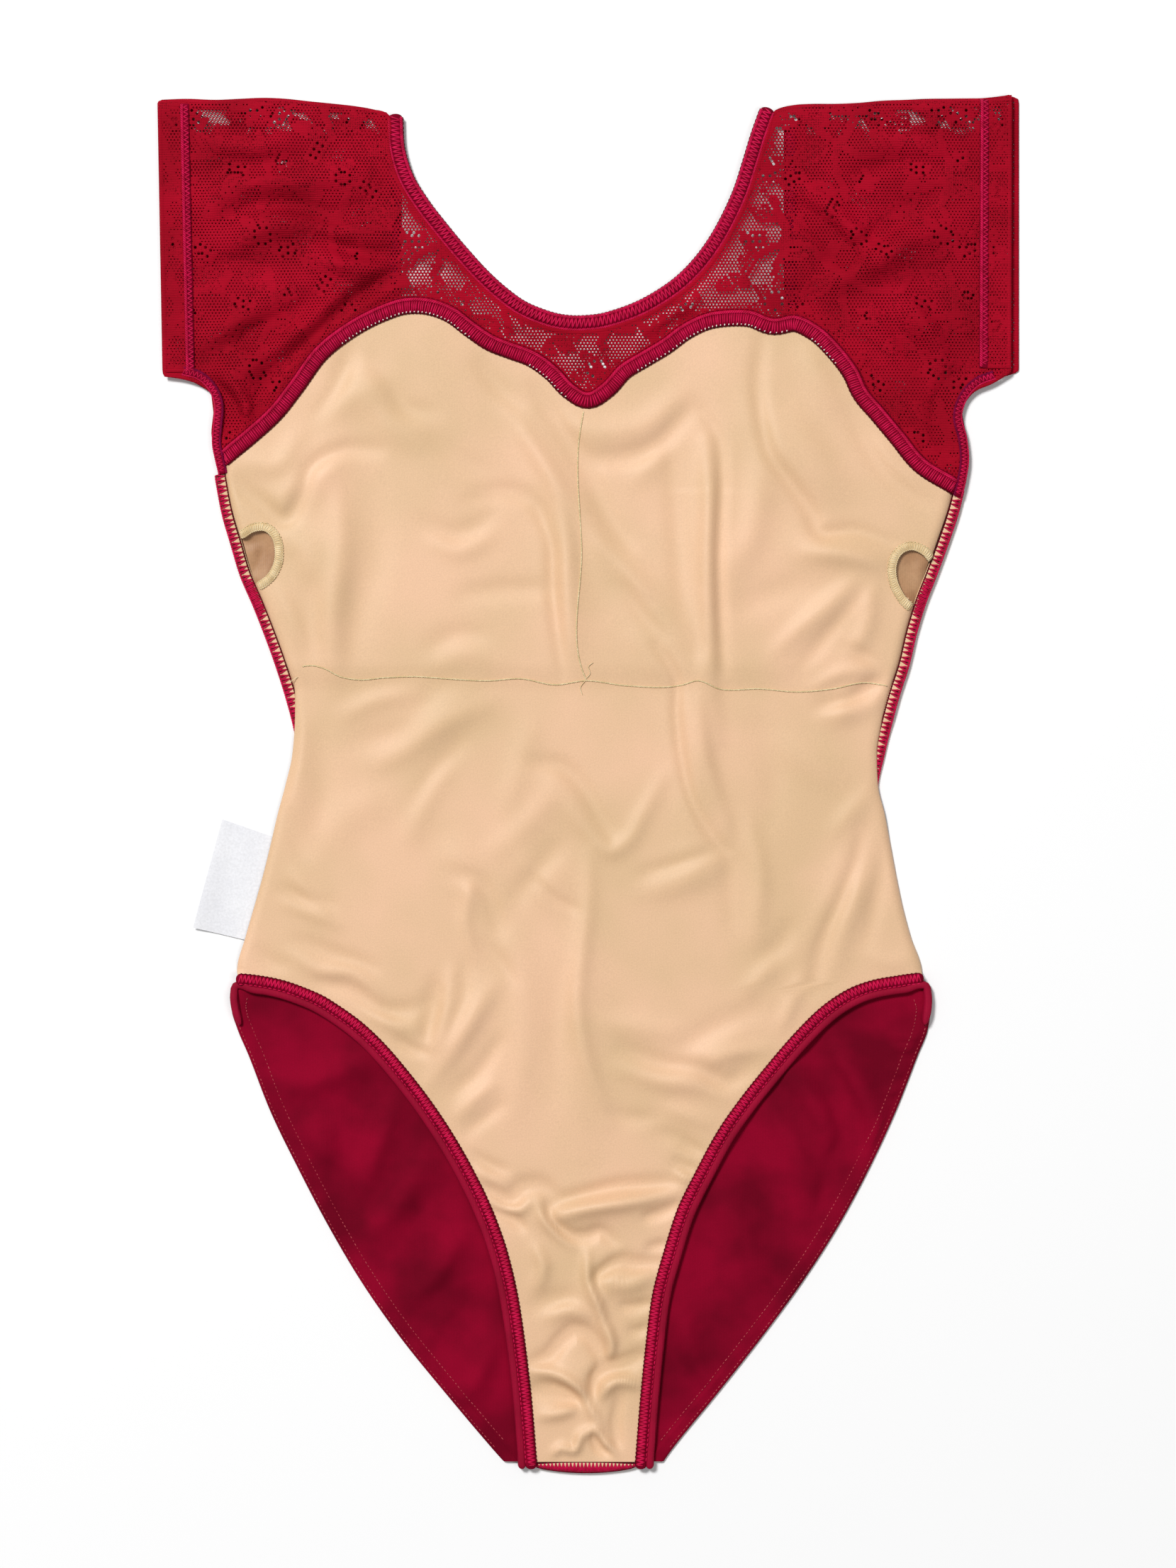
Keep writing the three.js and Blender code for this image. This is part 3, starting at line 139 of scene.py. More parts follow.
# Smaller creases, as (height, half width, x, y, x, y and so on). Troughs have a negative height. First
# those of the lining.
CREASES = [
    # from the left underarm to the middle
    (-1.7, 4.5, -177, 151, -163, 140, -149, 131, -141, 143, -136, 156, -121, 165, -104, 165),
    (1.0, 6, -170, 160, -152, 158, -143, 172), (-1.2, 5, -117, 215, -123, 197, -133, 183),
    (-0.9, 5, -106, 209, -97, 197, -90, 186, -76, 183), (1.2, 8, -108, 190, -96, 176, -84, 170),
    (-0.7, 6, -77, 171, -63, 160, -46, 152), (-1.2, 5, -58, 141, -40, 144, -28, 140, -21, 130),
    (-1.6, 3.6, -24, 136, -18, 118, -17, 97, -15, 76, -12, 55),
    (1.2, 5, -31, 172, -18, 150, -11, 126, -10, 92, -8, 66),
    (-0.8, 5, -82, 130, -66, 124, -57, 126, -46, 135), (0.8, 5, -76, 120, -64, 115, -48, 122),
    (-1.0, 5, -62, 94, -40, 96, -18, 96), (-0.7, 5, -78, 68, -64, 74, -52, 73),
    (0.7, 6, -76, 58, -58, 64, -42, 60), (-1.0, 8, -108, 150, -104, 120, -112, 86, -117, 66),
    (1.3, 6, -124, 150, -121, 118, -125, 84, -124, 50), (1.2, 8, -150, 122, -140, 116, -136, 104),
    (0.9, 5, -153, 97, -147, 84, -142, 70), (-0.8, 6, -137, 100, -136, 84, -134, 64),
    # the middle of the bust
    (-1.1, 5, -54, 209, -44, 196, -34, 186), (-1.5, 5, -26, 195, -14, 177, 0, 155, 11, 132, 20, 118),
    (1.4, 6, -40, 186, -26, 166, -12, 146, 2, 124, 8, 104), (1.3, 7, -12, 178, 8, 174, 30, 178, 46, 192),
    (-1.4, 5, -2, 161, 17, 161, 32, 166, 45, 179, 52, 187), (0.8, 6, 24, 150, 34, 160, 40, 168),
    (-1.6, 3.4, 57, 184, 64, 172, 66, 154, 65, 126, 65, 97, 66, 74, 67, 56),
    (1.7, 4.5, 58, 168, 60, 140, 59, 110, 60, 80, 61, 50, 64, 22),
    (-1.0, 5, 40, 168, 43, 140, 45, 112, 48, 84), (-0.9, 4, 18, 98, 27, 84, 38, 72),
    (0.8, 5, 6, 120, 16, 108, 28, 95), (0.7, 6, 22, 74, 30, 64, 36, 50),
    # the right of the bust
    (-1.7, 4, 86, 220, 84, 197, 86, 178, 90, 163, 100, 149, 110, 134, 114, 125, 131, 125, 150, 119),
    (1.5, 8, 86, 160, 84, 138, 80, 120, 72, 106), (1.3, 8, 100, 182, 110, 166, 124, 148),
    (1.1, 7, 108, 214, 114, 200, 120, 186), (-1.0, 5, 129, 184, 136, 170, 146, 156, 166, 138),
    (0.8, 5, 142, 168, 152, 155, 164, 146), (1.3, 5, 108, 114, 126, 113, 146, 108),
    (-0.9, 7, 76, 88, 92, 94, 106, 98), (1.1, 5, 92, 64, 108, 80, 131, 100),
    (-1.1, 4.5, 104, 56, 116, 71, 128, 86, 138, 98), (1.3, 5, 139, 96, 139, 84, 135, 72, 128, 64),
    (-1.0, 3.5, 127, 68, 137, 63, 146, 56), (1.2, 4, 110, 47, 124, 54, 140, 57),
    (-1.9, 4, 114, 38, 131, 43, 145, 52), (1.1, 5, 124, 34, 136, 37, 144, 42),
    # the waist
    (-1.9, 3.2, 34, 68, 43, 54, 44, 34, 47, 10, 52, -9, 60, -24, 68, -33),
    (1.4, 4.5, 56, 60, 56, 36, 58, 14, 64, -8, 73, -32), (-0.8, 6, -116, 20, -92, 28, -76, 42),
    (1.3, 6, -104, 10, -90, 16, -72, 28, -48, 40), (1.0, 5, -120, 34, -104, 41, -84, 46),
    (-0.9, 5, -86, -12, -76, 6, -62, 21), (1.0, 6, -88, -28, -80, -8, -70, 8),
    (1.0, 7, -40, -14, -34, 6, -28, 28), (-1.6, 4.5, -27, 11, -12, 8, -3, -1, 5, -14, 11, -23),
    (1.3, 4.5, -8, -14, 1, -24, 12, -33, 20, -28, 27, -16, 37, 3), (1.1, 9, 98, 20, 110, 11, 122, 3),
    (-0.8, 7, 84, 30, 92, 6, 90, -20), (1.0, 6, -142, 30, -143, 4, -146, -24),
    (-0.7, 6, -132, 24, -130, -4, -136, -30), (0.8, 9, -126, -26, -112, -12, -100, -8),
    # the hips
    (-1.3, 4, 28, -44, 46, -39, 65, -32), (0.9, 6, 26, -54, 46, -50, 62, -44),
    (-1.9, 5, -66, -43, -53, -49, -47, -60, -43, -73), (-1.4, 6, -14, -30, -26, -44, -36, -58),
    (1.2, 7, -46, -34, -32, -22, -18, -6), (-1.0, 3, -27, -46, -14, -58, -6, -62),
    (1.5, 4.5, 1, -34, 0, -60, -3, -86, -5, -107, -2, -130, 10, -166),
    (-0.9, 6, -14, -92, -15, -122, -13, -152), (1.4, 8, -36, -76, -32, -98, -31, -126, -36, -166),
    (1.1, 3.5, -58, -50, -60, -70, -56, -86), (-0.9, 4, -52, -78, -43, -88, -36, -98),
    (-1.0, 4, -61, -88, -60, -102, -69, -124), (-2.0, 4, -75, -98, -77, -112, -80, -126),
    (1.3, 4, -67, -92, -69, -108, -74, -128), (1.6, 5, -45, -98, -58, -119, -70, -137, -78, -148),
    (-1.4, 4, -43, -126, -55, -143, -66, -152), (1.3, 4, -46, -148, -56, -156, -64, -164),
    (-1.1, 3.5, -42, -158, -52, -166, -60, -172), (-1.2, 4, -142, -77, -122, -85, -105, -91),
    (1.3, 4, -146, -84, -131, -92, -116, -93, -103, -103),
    (-1.4, 4, -134, -98, -116, -102, -103, -111, -88, -111, -77, -107),
    (1.3, 4, -110, -110, -96, -119, -84, -121), (-1.3, 3, -94, -127, -86, -131, -79, -133),
    (0.9, 3.5, -146, -44, -138, -54, -128, -64), (-0.9, 3.5, -150, -52, -138, -57, -126, -60),
    (0.9, 3.5, -150, -58, -136, -64, -122, -70), (-0.9, 4, -162, -82, -156, -88, -150, -90),
    (-0.8, 5, -150, -12, -144, -24, -140, -36),
    (-2.0, 4.2, 136, -22, 132, -38, 126, -55, 118, -73, 114, -86, 112, -102),
    (1.1, 5, 137, -45, 128, -70, 122, -92), (1.0, 5, 122, -24, 130, -14, 139, -4),
    (-0.9, 4, 147, -30, 143, -56, 138, -78), (0.8, 5, 140, -84, 148, -88, 158, -88),
    (1.3, 5, 79, -18, 85, -44, 83, -76), (-0.9, 5, 73, -22, 70, -46, 72, -70),
    (-1.3, 5, 86, -86, 94, -80, 100, -70), (1.2, 5, 78, -103, 85, -96, 92, -88),
    (1.3, 4, 105, -96, 101, -108, 96, -120), (-1.1, 6, 46, -130, 66, -119, 84, -111),
    (-1.8, 4.5, 18, -131, 38, -138, 54, -140, 69, -147, 80, -141), (1.0, 6, 8, -118, 30, -121, 46, -124),
    (1.4, 5, 14, -140, 38, -147, 58, -150, 70, -155), (1.1, 4, 62, -136, 76, -132, 88, -131),
    (-1.1, 4, 34, -172, 44, -175, 53, -179), (-0.9, 4, 10, -162, 22, -165, 34, -165),
    (1.0, 4, 40, -160, 50, -164, 60, -168),
    # towards the crotch
    (-1.1, 3, -56, -183, -48, -188, -40, -191), (1.0, 3.5, -54, -191, -48, -195, -42, -197),
    (-2.1, 4.2, -50, -198, -44, -204, -38, -205, -32, -199, -25, -198, -15, -203),
    (1.6, 3, -49, -204, -40, -210, -34, -210, -28, -206), (-1.6, 3.2, -47, -210, -38, -214, -32, -219),
    (-2.4, 4, -20, -209, -10, -205, 2, -202, 15, -199, 27, -198, 41, -197),
    (1.8, 4, -14, -213, 0, -209, 20, -206, 45, -201),
    (-1.6, 3.2, -20, -208, -18, -214, -14, -219, -8, -223, 0, -223, 6, -221, 13, -226),
    (1.2, 3, -24, -206, -22, -214, -15, -222, -8, -227), (-1.1, 3, 47, -178, 52, -180, 57, -182),
    (-1.1, 3, 43, -186, 48, -189, 53, -191), (1.1, 3, 44, -192, 48, -194, 52, -195),
    (-1.3, 3, 28, -214, 36, -212, 44, -208), (1.1, 4, -26, -228, -22, -238, -24, -248),
    (-1.8, 3.6, 5, -250, 4, -244, 8, -240, 16, -236, 24, -237, 35, -236),
    (1.5, 3.2, 0, -232, 0, -242, 2, -249, 6, -260, 10, -274), (1.3, 5, 12, -247, 20, -247, 30, -243),
    (-1.0, 2.6, 30, -229, 35, -228, 39, -227), (-1.1, 2.6, 17, -258, 24, -258, 31, -256),
    (-0.9, 2.6, 21, -270, 25, -270, 30, -268), (-0.8, 5, -27, -258, -18, -255, -7, -253),
    (1.0, 4, -19, -263, -8, -260, 0, -263),
    (-1.9, 3.6, -27, -286, -19, -282, -12, -274, -6, -270, 0, -272, 5, -279, 8, -286),
    (1.1, 3, 10, -268, 12, -276, 10, -284), (-2.3, 3.6, 3, -301, 4, -293, 9, -289, 16, -287, 27, -282),
    (1.5, 3.4, 6, -302, 14, -295, 25, -296),
    (1.6, 3.2, -29, -289, -17, -291, -10, -294, -3, -301, 1, -308, 6, -316),
    (-2.3, 4, -28, -300, -16, -300, -7, -303, -1, -306), (1.2, 3.2, -23, -312, -12, -310, -5, -307),
    (-1.1, 3, 16, -303, 14, -314, 15, -327), (-1.8, 3, 4, -322, 6, -328, 11, -332),
    (1.4, 2.6, -3, -322, 3, -319, 8, -325, 14, -331), (1.2, 2.6, -18, -333, -13, -328, -7, -329, -3, -320),
]
# Those of the front lace.
LACE_CREASES = [
    (-1.3, 5, -184, 276, -168, 284, -150, 286, -122, 281, -103, 289, -95, 300),
    (1.2, 6, -190, 288, -166, 296, -140, 297, -112, 302),
    (1.1, 6, -176, 266, -150, 276, -124, 271, -108, 277),
    (-1.4, 4.5, -140, 274, -121, 265, -103, 262, -92, 264), (1.2, 5, -136, 262, -118, 255, -100, 253),
    (-1.2, 5, -162, 197, -134, 219, -112, 240, -90, 253, -74, 252),
    (1.2, 5, -166, 206, -142, 224, -120, 243, -102, 254),
    (1.1, 5, -150, 200, -128, 220, -108, 235, -92, 245),
    (-1.1, 5, -190, 209, -170, 219, -150, 229, -136, 240), (1.0, 5, -190, 219, -172, 229, -154, 240),
    (-1.7, 4.5, -186, 198, -178, 188, -175, 177, -177, 166), (1.3, 4, -180, 202, -170, 190, -167, 178),
    (-0.9, 5, -194, 250, -176, 256, -156, 254), (0.9, 5, -190, 318, -168, 314, -146, 318),
    (-0.8, 5, -186, 308, -160, 306, -132, 311), (-1.3, 5, 98, 287, 112, 277, 124, 266, 136, 250),
    (1.2, 5, 104, 294, 120, 284, 134, 270, 146, 254), (-1.2, 5, 112, 256, 136, 266, 156, 282, 172, 290),
    (1.2, 6, 118, 246, 142, 256, 162, 270, 180, 276), (-1.0, 5, 146, 234, 156, 220, 166, 205),
    (1.1, 5, 156, 240, 168, 224, 176, 208), (-1.5, 4.5, 186, 204, 176, 192, 174, 178, 178, 164),
    (-0.9, 5, 130, 300, 150, 306, 176, 305), (0.9, 6, 126, 312, 148, 318, 174, 316),
    (0.8, 5, -58, 246, -40, 232, -24, 222), (0.8, 5, 60, 246, 42, 232, 28, 224),
]
# Those in the facing, where the pad openings show it.
POCKET_CREASES = [
    (-1.3, 2.6, -161, 123, -160, 117, -162, 110, -164, 103), (-1.0, 3.0, -170, 121, -166, 119, -163, 121),
    (-0.7, 2.4, -167, 115, -166, 108, -165, 102), (-1.2, 2.6, 161, 113, 160, 106, 162, 98, 163, 90),
    (-0.9, 2.6, 168, 108, 167, 100, 166, 93), (-0.8, 2.4, 156, 110, 156, 103, 158, 95),
]
# Those in the back, where the leg openings show it.
SEAT_CREASES = [
    (1.0, 7, -108, -134, -126, -144, -148, -150), (-1.1, 6, -100, -146, -112, -162, -118, -182),
    (1.0, 6, -96, -158, -104, -180, -112, -200), (-1.0, 5, -128, -186, -122, -198, -118, -212),
    (0.9, 6, -136, -168, -130, -180, -124, -192), (0.9, 6, -80, -186, -92, -206, -106, -222),
    (-0.9, 6, -70, -200, -82, -222, -98, -238), (0.8, 5, -62, -222, -74, -242, -88, -256),
    (-0.8, 5, -54, -248, -64, -270, -76, -284), (0.8, 5, -47, -274, -54, -294, -64, -306),
    (-1.4, 5, 111, -128, 124, -154, 131, -173, 131, -190),
    (1.2, 6, 122, -132, 136, -152, 143, -172, 142, -186), (1.1, 6, 100, -142, 113, -160, 120, -180),
    (-1.0, 5, 124, -178, 122, -196, 116, -212), (0.9, 6, 90, -160, 104, -184, 110, -206),
    (-0.8, 6, 78, -178, 92, -204, 98, -226), (0.8, 6, 66, -200, 78, -226, 86, -246),
    (-0.8, 5, 56, -230, 64, -254, 74, -270), (0.8, 5, 46, -260, 53, -284, 62, -300),
    (0.7, 2.2, 153, -124, 160, -125, 167, -125), (0.7, 2.2, 153, -130, 160, -131, 166, -131),
    (0.6, 2.2, 150, -140, 156, -142, 162, -143), (0.6, 2.2, 147, -150, 152, -152, 158, -153),
]
PAD_OPENINGS = {
    "left": [(-176, 121), (-170, 121.5), (-164.5, 124.6), (-159.5, 125), (-155.6, 121.5), (-154, 115),
             (-155, 108), (-159, 102), (-164, 99), (-171, 97)],
    "right": [(176, 105), (169.5, 109), (165, 113.6), (160, 115.6), (155.4, 114), (152.4, 109),
              (152.2, 102.6), (154.4, 96), (158.4, 90.4), (163, 87.2), (170, 86)],
}

# Where the leg bands start at the hips, and how their rolls turn the corner there.
LEG_TIP = {
    "left": [(-173.8, -98.8), (-169, -99.1), (-162.5, -99.9)],
    "right": [(166.2, -98.3), (160.5, -98.9), (152.5, -100.1)],
}
LEG_CORNER = {
    "left": [(-171.6, -119), (-174.0, -111), (-174.7, -104), (-173.9, -99.7), (-170.8, -99.6)],
    "right": [(166.5, -119), (168.0, -111), (168.1, -104), (167.0, -99.6), (163.8, -99.3)],
}
UNDERARM = {
    "left": [(-200.5, 202.5), (-192, 200), (-186.5, 194.5), (-183.9, 188), (-184.3, 178), (-184.9, 168),
             (-183.4, 160), (-181.6, 152.6)],
    "right": [(201.5, 200.5), (193, 197), (186.8, 190), (184.4, 182), (186.8, 171), (187.8, 160),
              (186.4, 150), (184.4, 141.5)],
}
# How far the yoke seam reaches past the lining's corners.
YOKE_REACH = 3.4
SIDE_PITCH = 2.4
# Where the side seams' threads lie doubled, from this height to that.
COVERED = (101, 85)
# Where the yoke seam shows the lace's edge between its threads, from this x to that.
TEETH = [(-124, -56), (-28, -8), (22, 98), (112, 126)]

# ---------------------------------------------------------------- curves and tables


def ease(value, start, end):
    """0 up to start, 1 from end on, and smooth between them."""
    t = np.clip((np.asarray(value, float) - start) / (end - start), 0, 1)
    return t * t * (3 - 2 * t)


def hermite(at, value, slope, t):
    """Cubic spans through values at some places, with a slope at each."""
    i = np.clip(np.searchsorted(at, t, side="right") - 1, 0, len(at) - 2)
    span = at[i + 1] - at[i]
    s = (t - at[i]) / span
    start = (1 + 2 * s) * (1 - s) ** 2 * value[i] + s * (1 - s) ** 2 * span * slope[i]
    return start + s * s * (3 - 2 * s) * value[i + 1] - s * s * (1 - s) * span * slope[i + 1]


def smooth(rows, column):
    """A smooth function of the rows' first column that overshoots no row."""
    table = np.array(sorted(rows), float)
    at, value = table[:, 0], table[:, column]
    slope = np.diff(value) / np.diff(at)
    tangent = np.zeros(len(at))
    tangent[0], tangent[-1] = slope[0], slope[-1]
    same = slope[1:] * slope[:-1] > 0
    tangent[1:-1][same] = 2 / (1 / slope[:-1][same] + 1 / slope[1:][same])
    return lambda t: hermite(at, value, tangent, np.clip(np.asarray(t, float), at[0], at[-1]))


def lengths(line):
    """How far along a line each of its points is."""
    return np.concatenate([[0], np.cumsum(np.linalg.norm(np.diff(line, axis=0), axis=1))])


def resampled(line, step):
    """A line with its points a step apart."""
    length = lengths(line)
    at = np.linspace(0, length[-1], max(int(round(length[-1] / step)), 2) + 1)
    return np.stack([np.interp(at, length, line[:, k]) for k in range(line.shape[1])], axis=1)


def curve(points, step=1.0):
    """Points a step apart on a smooth line through some points."""
    p = np.array(points, float)
    at = lengths(p)
    slope = np.gradient(p, at, axis=0, edge_order=1)
    t = np.linspace(0, at[-1], int(at[-1] / 0.5) + 2)
    return resampled(np.stack([hermite(at, p[:, k], slope[:, k], t) for k in (0, 1)], axis=1), step)


def normals(line):
    """The unit normal to the left of a line at each of its points."""
    along = np.gradient(line, axis=0)
    along /= np.linalg.norm(along, axis=1)[:, None]
    return np.stack([-along[:, 1], along[:, 0]], axis=1)


def turned(dx, dy, degrees):
    """The parts of an offset along a direction and across it."""
    c, s = math.cos(math.radians(degrees)), math.sin(math.radians(degrees))
    return dx * c + dy * s, dy * c - dx * s


def distance_to(line, x, y, closest=False):
    """How far points are from a line, and the closest points on it if asked."""
    x, y = np.asarray(x, float), np.asarray(y, float)
    best = np.full(x.shape, np.inf)
    near_x, near_y = np.zeros(x.shape), np.zeros(x.shape)
    for (ax, ay), (bx, by) in zip(line[:-1], line[1:]):
        dx, dy = bx - ax, by - ay
        t = np.clip(((x - ax) * dx + (y - ay) * dy) / (dx * dx + dy * dy + 1e-12), 0, 1)
        px, py = ax + t * dx, ay + t * dy
        d = np.hypot(x - px, y - py)
        closer = d < best
        best = np.where(closer, d, best)
        if closest:
            near_x, near_y = np.where(closer, px, near_x), np.where(closer, py, near_y)
    return (best, near_x, near_y) if closest else best


def within(outline, x, y):
    """Which points are inside a closed outline."""
    inside = np.zeros(np.shape(x), bool)
    for (ax, ay), (bx, by) in zip(outline, np.roll(outline, -1, axis=0)):
        crosses = (ay > y) != (by > y)
        at = ax + (y - ay) * (bx - ax) / (by - ay if by != ay else 1e-12)
        inside ^= crosses & (x < at)
    return inside


def round_over(distance, reach):
    """The height of a quarter circle, from 0 at an edge to 1 at its reach."""
    return np.sqrt(1 - (1 - np.clip(distance / reach, 0, 1)) ** 2)


# ---------------------------------------------------------------- the heights of the layers


def rest(x, y):
    """The underside of the front: on the back, or on the floor where the back is open."""
    across = np.abs(x - SCOOP_X)
    ratio = np.hypot(across / SCOOP_HALF, np.maximum(SCOOP_Y - y, 0) / SCOOP_DEEP)
    inside = np.where(y > SCOOP_Y, SCOOP_HALF - across, (1 - ratio) * SCOOP_DEEP)
    return STACK * (1 - ease(inside, 8, 60))


def lift(folds, x, y):
    """The height of large folds."""
    total = np.zeros(np.shape(x))
    for fx, fy, turn, long, wide, tall, bend in folds:
        along, across = turned(x - fx, y - fy, turn)
        along = along / long
        across = (across - bend * along * along) / wide
        total += np.where(np.abs(along) < 1, tall * (1 - along * along) ** 2 * np.exp(-across * across), 0)
    return total


def crease_lines(creases):
    """Each crease as (height, half width, points along it, strength there)."""
    lines = []
    for tall, wide, *points in creases:
        line = curve(np.reshape(points, (-1, 2)), min(2.5, 0.4 * wide))
        strength = np.sin(np.linspace(0.12, math.pi - 0.12, len(line))) ** 0.6
        lines.append((tall, wide, line, strength))
    return lines


def crease(lines, x, y):
    """The height of creases, which fade out towards their ends."""
    x, y = np.broadcast_arrays(np.asarray(x, float), np.asarray(y, float))
    total = np.zeros(x.shape)
    for tall, wide, line, strength in lines:
        reach = 2.2 * wide
        low, high = line.min(axis=0) - reach, line.max(axis=0) + reach
        near = (x > low[0]) & (x < high[0]) & (y > low[1]) & (y < high[1])
        if near.any():
            dx = x[near][:, None] - line[:, 0]
            dy = y[near][:, None] - line[:, 1]
            total[near] += tall * (np.exp(-(dx * dx + dy * dy) / wide**2) * strength).max(axis=1)
    return total


body_left, body_right = body_edges = [smooth(BODY, k) for k in (1, 2)]
seam_edges = [smooth(SEAM, k) for k in (1, 2)]
seat_edges = [smooth(SEAT, k) for k in (1, 2)]

lining_creases = crease_lines(CREASES)
lace_creases = crease_lines(LACE_CREASES)
seat_creases = crease_lines(SEAT_CREASES)
pocket_creases = crease_lines(POCKET_CREASES)

ribs = np.array(RIBS, float)
yoke_edge = curve(ribs[SEAM_RIBS, :2])
lining_cut = yoke_edge - CUT_BELOW_YOKE * normals(yoke_edge)
neck_edge = curve(ribs[NECK_RIBS, 2:])


def cut_height(x):
    """How far up the lining reaches."""
    order = np.argsort(lining_cut[:, 0])
    return np.interp(x, lining_cut[order, 0], lining_cut[order, 1])


def from_side(edges, x, y):
    """How far in from the closer of two side edges."""
    return np.minimum(x - edges[0](y), edges[1](y) - x)


def soft_floor(folds, deepest):
    """Keep troughs from reaching what lies below."""
    return np.where(folds < 0, deepest * np.tanh(folds / deepest), folds)


def lining_top(x, y):
    """The height of the lining's face away from its rolled sides."""
    from_edge = np.minimum(np.minimum(from_side(body_edges, x, y), cut_height(x) - y), y - CROTCH_Y)
    folds = BODY_FOLD * lift(BODY_FOLDS, x, y) * ease(from_edge, 7, 24)
    depth = 1.15 + 0.2 * ease(y, 20, 80) + 1.0 * ease(-y, 170, 250)
    folds = folds + depth * crease(lining_creases, x, y) * ease(from_edge, 0.5, 6)
    return rest(x, y) + PLY * (1 + ease(y, 45, 60)) + CLOTH + soft_floor(folds, LINING_TROUGH)


def lace_top(x, y):
    """The height of the front lace away from its shoulder folds."""
    inner = np.minimum(distance_to(yoke_edge[::6], x, y), distance_to(neck_edge[::6], x, y))
    folds = LACE_FOLD * lift(LACE_FOLDS, x, y) * ease(inner, 5, 20) * ease(212 - np.abs(x), 12, 28)
    creases = LACE_CREASE * crease(lace_creases, x, y) * ease(inner, 1, 8)
    return rest(x, y) + LACE_FACE + soft_floor(folds + creases, LACE_TROUGH)


def back_top(x, y):
    """The height of the back, which is turned in and doubled along its leg edges."""
    edge = from_side(seat_edges, x, y)
    doubled = DOUBLED * (1 - ease(edge, HEM_WIDE - 1.2, HEM_WIDE))
    beat = np.sin(0.55 * y + 0.2 * x) * np.sin(0.17 * y + 1.0)
    pucker = 0.4 * beat * np.exp(-((edge - HEM_WIDE + 1) / 3.0) ** 2)
    folds = SEAT_CREASE * crease(seat_creases, x, y) * ease(edge, 1, 6) + pucker
    return BACK_FACE + doubled + soft_floor(folds, BACK_TROUGH)


# ---------------------------------------------------------------- meshes


def grid_faces(rows, columns, closed_across=False):
    """The faces between a grid's points, row by row."""
    across = columns if closed_across else columns - 1
    i, j = np.meshgrid(np.arange(rows - 1), np.arange(across), indexing="ij")
    a, b = i * columns + j, i * columns + (j + 1) % columns
    return np.stack([a, b, b + columns, a + columns], axis=-1).reshape(-1, 4)


def sheet(x, y, z):
    """The points and faces of a sheet over a grid of places."""
    return np.stack([x, y, z], axis=-1).reshape(-1, 3), grid_faces(*x.shape)


def tubes(paths, radius, sides=4):
    """A thread along a path, or several along paths that all have the same number of points."""
    paths = paths[None] if paths.ndim == 2 else paths
    count, long = paths.shape[:2]
    along = np.gradient(paths, axis=1)
    along /= np.linalg.norm(along, axis=2)[..., None] + 1e-9
    side = np.cross(along, [0, 0, 1])
    side /= np.linalg.norm(side, axis=2)[..., None] + 1e-9
    up = np.cross(side, along)
    turn = np.linspace(0, 2 * math.pi, sides, endpoint=False)[:, None]
    ring = side[:, :, None] * np.cos(turn) + up[:, :, None] * np.sin(turn)
    taper = np.ones(long)
    taper[[0, -1]] = 0.35
    points = paths[:, :, None] + radius * ring * taper[None, :, None, None]
    starts = np.arange(count)[:, None, None] * long * sides
    faces = grid_faces(long, sides, closed_across=True)[None] + starts
    return points.reshape(-1, 3), faces.reshape(-1, 4)


def joined(meshes):
    """Several meshes as one."""
    points, faces, start = [], [], 0
    for p, f in meshes:
        points.append(p)
        faces.append(f + start)
        start += len(p)
    return np.concatenate(points), np.concatenate(faces)


def piece(name, layers, stands_for=None):
    """An object from layers of (material, (points in mm, faces)), which stands for a node of the part."""
    points, faces, which, start = [], [], [], 0
    for index, (_, (p, f)) in enumerate(layers):
        points.append(p)
        faces.extend((np.asarray(face) + start).tolist() for face in f)
        which.extend([index] * len(f))
        start += len(p)
    mesh = bpy.data.meshes.new(name)
    mesh.from_pydata((np.concatenate(points) * MM).tolist(), [], faces)
    for material, _ in layers:
        mesh.materials.append(material)
    mesh.polygons.foreach_set("material_index", which)
    mesh.polygons.foreach_set("use_smooth", [True] * len(mesh.polygons))
    mesh.update()
    obj = bpy.data.objects.new(name, mesh)
    bpy.context.scene.collection.objects.link(obj)
    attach(obj, "root")
    if stands_for:
        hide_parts(stands_for)
    return obj


def dome(low, high, tall):
    """A rounded profile's height across a strip."""
    def height(side):
        t = np.clip((side - low) / (high - low), 0, 1)
        return tall * (1 - np.abs(2 * t - 1) ** 3)
    return height


